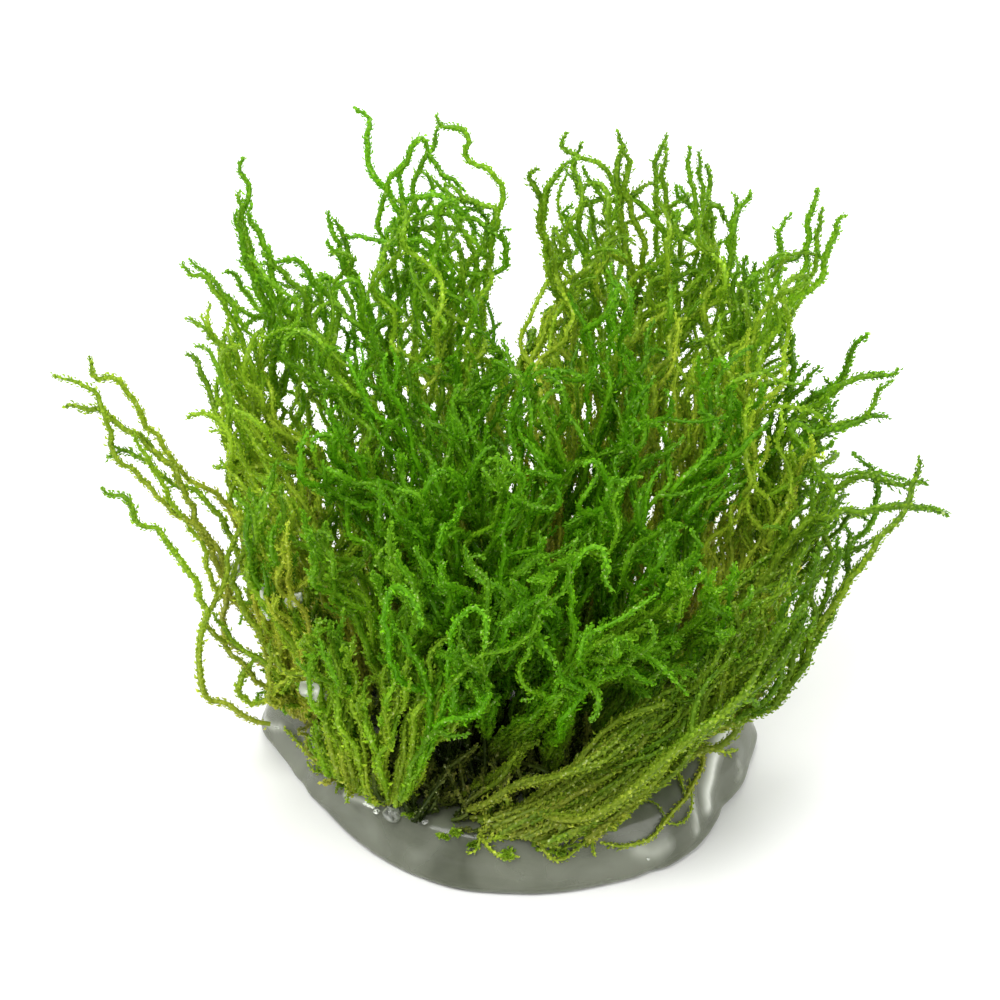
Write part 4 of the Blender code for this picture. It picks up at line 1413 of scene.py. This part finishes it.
def raise_ridges(shape, tree):
    """Lifts the ridges out of the pad's surface and paints a pale haze along them, mostly painted
    highlight.
    """
    shape.normal_update()
    places = np.array([vert.co[:] for vert in shape.verts])
    lift = np.zeros(len(places))
    milk_and_highlight = np.zeros(len(places))
    for width, height, strength, *pixels in GEL_RIDGES:
        spots = [on_pad(tree, pixel)[0] for pixel in pixels]
        line = smooth_run([spot[:] for spot in spots if spot is not None], RIDGE_POINTS)
        gap = np.min(np.linalg.norm(places[:, None] - line, axis=2), axis=1)
        share = np.exp(-(gap / (width * MM)) ** 2)
        lift = np.maximum(lift, share * height * MM)
        milk_and_highlight = np.maximum(milk_and_highlight, share * strength)
    # Painted highlight: the ridges' pale haze, kept in the same layer as the bits' real milkiness
    haze_and_highlight = shape.verts.layers.float_color.new("haze_and_highlight")
    for vert, rise, white in zip(shape.verts, lift, milk_and_highlight):
        vert.co += vert.normal * rise
        vert.co.z = max(vert.co.z, 0.0)
        vert[haze_and_highlight] = (white, white, white, 1.0)


def on_pad(tree, pixel):
    """Where the camera sees the pad at a pixel, and which way its surface faces there."""
    spot, normal, _, _ = tree.ray_cast(Vector(CAMERA_PLACE), Vector(pixel_way(pixel)).normalized())
    return spot, normal


def mesh_object(name, shape, material):
    """The object of a finished shape."""
    mesh = bpy.data.meshes.new(name)
    shape.to_mesh(mesh)
    shape.free()
    mesh.materials.append(material)
    return in_scene(name, mesh)


def gel_piece(name, shape, material, *nodes):
    """A piece of gel, in place of nodes if it has any."""
    obj = mesh_object(name, shape, material)
    obj.data.shade_smooth()
    if nodes:
        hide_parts(*nodes)
    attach(obj, "root")


def nearest_on_moss(piece, pixel):
    """The place on a piece's shoots that shows near a pixel and is nearest to the camera."""
    places = np.concatenate(piece.routes)
    gaps = np.linalg.norm(to_pixels(places) - np.array(pixel), axis=1)
    near = places[gaps < max(CLING_GAP, gaps.min() + 1)]
    return near[int(np.argmin(np.linalg.norm(near - CAMERA_PLACE, axis=1)))]


def gel_bits(name, rows, pieces, pad_shape, material):
    """Beads and films of gel, on the pad and round the shoots that they cling to."""
    shape = bmesh.new()
    haze_and_highlight = shape.verts.layers.float_color.new("haze_and_highlight")
    for number, (pixel, halves, milk_and_highlight, place) in enumerate(rows):
        away = Vector(pixel_way(pixel)).normalized()
        if place is None:
            spot = on_pad(pad_shape, pixel)[0] - away * halves[2] * BIT_SUNK * MM
            lumps = BEAD_LUMPS[0] + BEAD_LUMPS[1] * milk_and_highlight
        else:
            spot = Vector(nearest_on_moss(pieces[place], pixel)) + away * CLING_DEPTH
            lumps = FILM_LUMPS
        turn = Euler([size * math.sin(number * rate) for size, rate in BIT_SWINGS])
        made = bmesh.ops.create_icosphere(shape, subdivisions=3, radius=1.0)
        for vert in made["verts"]:
            grow = 1 + lumps * noise.noise(vert.co * BIT_GRAIN[0] + Vector((number * 5.0, 0, 0)))
            local = Vector([part * half * grow for part, half in zip(vert.co, halves)]) * MM
            local.rotate(turn)
            patch = noise.noise(vert.co * BIT_GRAIN[1] + Vector((0, number * 5.0, 0)))
            white = max(0.0, min(1.0, milk_and_highlight * (1 + BIT_PATCHES * patch)))
            vert[haze_and_highlight] = (white, white, white, 1.0)
            vert.co = spot + local
    gel_piece(name, shape, material)


def floor():
    """The plain pale floor."""
    shape = bmesh.new()
    bmesh.ops.create_grid(shape, x_segments=1, y_segments=1, size=FLOOR_SIZE)
    material, tree, shader = new_material("pale_floor")
    wire(tree, shader, {"Base Color": FLOOR_COLOUR, "Roughness": 0.7})
    mesh_object("floor", shape, material)


def lights():
    """Three large soft lamps and an even pale surrounding."""
    for name, place, size, power in LAMPS:
        lamp = bpy.data.lights.new(name, "AREA")
        lamp.shape = "DISK"
        lamp.size = size
        lamp.energy = power
        obj = in_scene(name, lamp)
        obj.location = place
        obj.rotation_euler = (Vector(AIM) - Vector(place)).to_track_quat("-Z", "Y").to_euler()
    world = bpy.data.worlds.new("studio")
    world.use_nodes = True
    wire(world.node_tree, world.node_tree.nodes["Background"],
         {"Color": (1.0, 1.0, 1.0, 1.0), "Strength": WORLD_LIGHT})
    bpy.context.scene.world = world


def camera():
    """The photograph's camera."""
    view = bpy.data.cameras.new("camera")
    view.lens = CAMERA_LENS
    view.sensor_width = SENSOR_WIDTH
    view.clip_start = 0.01
    obj = in_scene("camera", view)
    obj.location = CAMERA_PLACE
    obj.rotation_euler = (math.pi / 2 - CAMERA_PITCH, 0.0, 0.0)
    bpy.context.scene.camera = obj
    bpy.context.scene.view_settings.view_transform = "Standard"


def main():
    camera()
    lights()
    floor()
    moss = moss_material()
    pad_shape = gel_pad(gel_material("culture_gel", *PAD_GEL))
    lines = {name: lock_line(name) for name in sorted(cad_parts) if "_lock_" in name}
    pieces = {place: MossPiece(SEED + number, facts["bristle"])
              for number, (place, facts) in enumerate(GROUPS.items())}
    for name, line in lines.items():
        piece = pieces[group_of(name)]
        facts = GROUPS[group_of(name)]
        for index in range(facts["shoots"]):
            run = lock_shoot(line, piece.draw, facts, index == 0)
            grow_shoot(piece, run, facts, piece.draw.integers(0, 3), LOCK_FORK)
    single_shoots(pieces, lines)
    combed_sheets(pieces)
    lying_shoots(pieces["front"], pad_shape)
    under_tufts(pieces, lines)
    foot_tufts(pieces, pad_shape)
    beads = [row for row in GEL_BITS if row[3] is None]
    films = [row for row in GEL_BITS if row[3]]
    gel_bits("gel_beads", beads, pieces, pad_shape, gel_material("clear_gel", *BEAD_GEL))
    gel_bits("gel_films", films, pieces, pad_shape, gel_material("film_gel", *FILM_GEL))
    pieces["hanging"] = MossPiece(SEED + 90)
    route = above_pad(smooth_run(routed(HANGING_DEPTHS, HANGING_SHOOT), HANGING_POINTS))
    grow_shoot(pieces["hanging"], route, HANGING_LOOK, HANGING_FORKS, HANGING_FORK)
    finish_moss(pieces, moss)


pad_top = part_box("gel_pad")[1].z
main()
